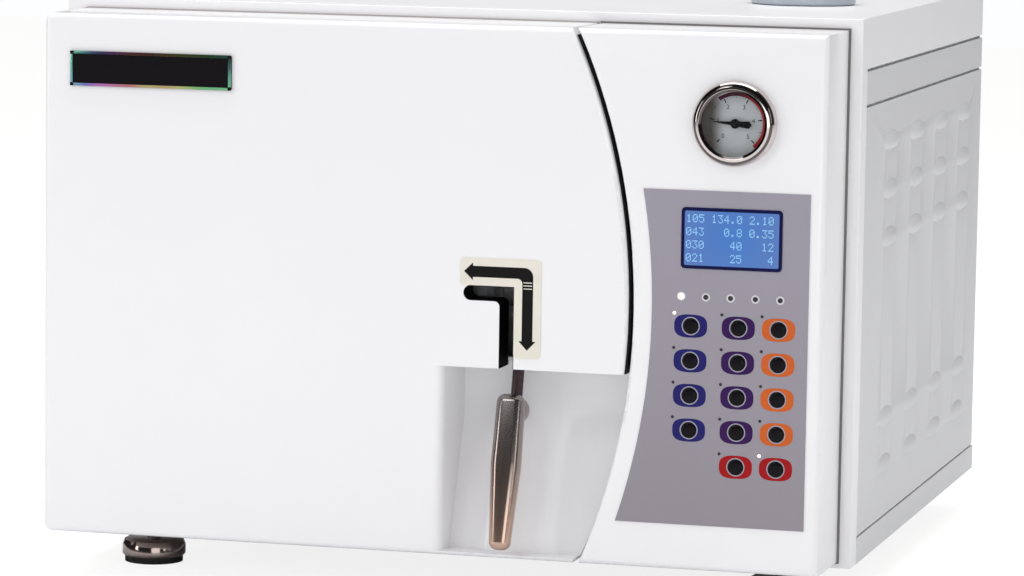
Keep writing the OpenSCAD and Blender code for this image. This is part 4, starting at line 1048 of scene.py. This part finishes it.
def figure_finish():
    finish, tree, shader = new_finish("figure_finish", 0.3, Emission_Strength=1.0)
    place = add(tree, "ShaderNodeTexCoord").outputs["Object"]
    flicker = add(tree, "ShaderNodeTexNoise", {"Vector": place, "Scale": 500.0})
    tree.links.new(two_tone(tree, flicker, (0.09, 0.30, 0.52), (0.15, 0.40, 0.60)),
                   shader.inputs["Emission Color"])
    tree.links.new(two_tone(tree, flicker, (0.18, 0.28, 0.40), (0.22, 0.34, 0.46)),
                   shader.inputs["Base Color"])
    return finish


finish_mesh("read_out", closed("read_out", read_out), "cabinet", figure_finish())


# Pressure gauge: a deep chromed bezel with a flat glass, and a printed dial behind it with
# plain numbers, a red arc and a black needle that rests a little past its left mark.

def chrome_finish():
    """Chrome banded by radius: painted bright reflections on the bezel's inner lip and outer edge, a painted
    dark reflection on its rolled face.
    """
    finish, tree, shader = new_finish("chrome_finish", 0.08, 1.0)
    place = add(tree, "ShaderNodeTexCoord").outputs["Object"]
    reach = add(tree, "ShaderNodeSeparateXYZ", {0: place_round(tree, dial)}).outputs["X"]
    smear = add(tree, "ShaderNodeTexNoise", {"Vector": place, "Scale": 70.0, "Detail": 4.0})
    # Painted reflections: light rings and a dark band in the chrome's colour, set by radius.
    painted_bright_reflection = two_tone(tree, smear, (0.62, 0.55, 0.53), (0.74, 0.68, 0.66))
    painted_dark_reflection = two_tone(tree, smear, (0.10, 0.09, 0.087), (0.15, 0.135, 0.13))
    painted_reflection_bands = add(tree, "ShaderNodeValToRGB", {0: add(tree, "ShaderNodeMath", {0: reach, 1: dial_r},
                                                    operation="DIVIDE")})
    ramp = painted_reflection_bands.color_ramp
    ramp.elements[0].color = ramp.elements[1].color = (0, 0, 0, 1)
    for share, level in ((0.80, 0), (0.81, 1), (0.865, 1), (0.875, 0), (0.925, 0), (0.945, 1)):
        ramp.elements.new(share).color = (level, level, level, 1)
    ramp.elements[-1].color = (1, 1, 1, 1)
    tree.links.new(add(tree, "ShaderNodeMix", {0: painted_reflection_bands.outputs[0], 6: painted_dark_reflection, 7: painted_bright_reflection},
                       data_type="RGBA").outputs[2], shader.inputs["Base Color"])
    polish = add(tree, "ShaderNodeMapRange", {"Value": smear, "To Min": 0.05, "To Max": 0.12})
    tree.links.new(polish.outputs[0], shader.inputs["Roughness"])
    return finish


def glass_finish():
    finish, tree, shader = new_finish("glass_finish", 0.02, Alpha=0.10, IOR=1.5)
    place = add(tree, "ShaderNodeTexCoord").outputs["Object"]
    film = add(tree, "ShaderNodeTexNoise", {"Vector": place, "Scale": 120.0, "Detail": 3.0})
    tree.links.new(two_tone(tree, film, (0.010, 0.011, 0.012), (0.030, 0.032, 0.034)),
                   shader.inputs["Base Color"])
    polish = add(tree, "ShaderNodeMapRange", {"Value": film, "To Min": 0.01, "To Max": 0.06})
    tree.links.new(polish.outputs[0], shader.inputs["Roughness"])
    return finish


def dial_finish():
    """Grey dial paint that turns to a dark brown at the left, a painted shadow of the deep case."""
    finish, tree, shader = new_finish("dial_paint_with_painted_shadow", 0.5, Specular_IOR_Level=0.2)
    place = add(tree, "ShaderNodeTexCoord").outputs["Object"]
    across = add(tree, "ShaderNodeSeparateXYZ", {0: place}).outputs["X"]
    grain = add(tree, "ShaderNodeTexNoise", {"Vector": place, "Scale": 140.0, "Detail": 3.0})
    shade = add(tree, "ShaderNodeMapRange", {"Value": across, "From Min": dial.x - 0.60 * dial_r,
                                             "From Max": dial.x - 0.22 * dial_r},
                interpolation_type="SMOOTHSTEP")
    pale = two_tone(tree, grain, (0.60, 0.63, 0.65), (0.74, 0.77, 0.79))
    # Painted shadow: dark brown for the dial's left side, where the case's shade would fall.
    painted_case_shadow = two_tone(tree, grain, (0.11, 0.092, 0.082), (0.18, 0.155, 0.14))
    tree.links.new(add(tree, "ShaderNodeMix", {0: shade.outputs[0], 6: painted_case_shadow, 7: pale},
                       data_type="RGBA").outputs[2], shader.inputs["Base Color"])
    return finish


dial = middle("gauge_case")
case_low, case_high = boxed("gauge_case")
dial_r = (case_high.x - case_low.x) / 2
dress("gauge_case", chrome_finish(), 0.0003)
dress("gauge_glass", glass_finish(), 0.0002)
dress("gauge_dial", dial_finish())
dress("gauge_needle", print_finish("needle_paint", (0.004, 0.004, 0.004), 0.45, Specular_IOR_Level=0.1))

dial_y = boxed("gauge_dial")[0].y
DIAL_R = 23 * MM


def clock(radius, hour):
    """A point on the dial; twelve is straight up and the hours run clockwise."""
    angle = math.radians(90 - 30 * hour)
    return (dial.x + radius * math.cos(angle), dial.z + radius * math.sin(angle))


def sector(low, high, first, last, steps=24):
    """A band between two radii from one hour to a later one."""
    hours = [first + (last - first) * i / steps for i in range(steps + 1)]
    return [clock(high, h) for h in hours] + [clock(low, h) for h in reversed(hours)]


def on_dial(name, loops, finish):
    shape = bmesh.new()
    for loop in loops:
        plate_mesh(name, [loop], dial_y - INK, dial_y + INK / 2, shape)
    return finish_mesh(name, closed(name, shape), "cabinet", finish)


def arc_finish():
    """Red ink that runs to a dark plum at the arc's upper left end."""
    finish, tree, shader = new_finish("arc_ink", 0.5, Specular_IOR_Level=0.2)
    place = add(tree, "ShaderNodeTexCoord").outputs["Object"]
    across = add(tree, "ShaderNodeSeparateXYZ", {0: place}).outputs["X"]
    grain = add(tree, "ShaderNodeTexNoise", {"Vector": place, "Scale": 700.0})
    warm = add(tree, "ShaderNodeMapRange", {"Value": across, "From Min": dial.x + 0.1 * DIAL_R,
                                            "From Max": dial.x + 0.75 * DIAL_R})
    red = two_tone(tree, grain, (0.50, 0.022, 0.024), (0.60, 0.032, 0.032))
    tree.links.new(add(tree, "ShaderNodeMix", {0: warm.outputs[0], 6: (0.085, 0.008, 0.030, 1), 7: red},
                       data_type="RGBA").outputs[2], shader.inputs["Base Color"])
    return finish


on_dial("dial_arc", [sector(0.85 * DIAL_R, 0.97 * DIAL_R, -1.2, 4.7)], arc_finish())
ticks = []
for i in range(41):
    hour = 7.5 + 9 * i / 40
    deep = 0.70 if i % 8 == 0 else 0.78 if i % 4 == 0 else 0.81
    wide = 0.045 if i % 8 == 0 else 0.026
    ticks.append(sector(deep * DIAL_R, 0.83 * DIAL_R, hour - wide, hour + wide, 1))
on_dial("dial_ticks", ticks, black_ink)


def numbers_mesh(name, words, size):
    """Plain figures standing in the XZ plane; each word is (figures, x, z)."""
    shape = bmesh.new()
    for figures, x, z in words:
        font = bpy.data.curves.new(name, "FONT")
        font.body = figures
        font.size = size
        font.align_x = "CENTER"
        font.align_y = "CENTER"
        font.extrude = INK
        font.resolution_u = 3
        writer = bpy.data.objects.new(name, font)
        flat = bpy.data.meshes.new_from_object(writer)
        flat.transform(Matrix.Translation((x, dial_y, z)) @ Matrix.Rotation(math.pi / 2, 4, "X"))
        shape.from_mesh(flat)
        bpy.data.objects.remove(writer)
        bpy.data.meshes.remove(flat)
        bpy.data.curves.remove(font)
    return closed(name, shape)


figures = [(str(i), *clock(0.56 * DIAL_R, 7.5 + 9 * i / 5)) for i in range(6)]
finish_mesh("dial_figures", numbers_mesh("dial_figures", figures, 4.6 * MM), "cabinet", black_ink)
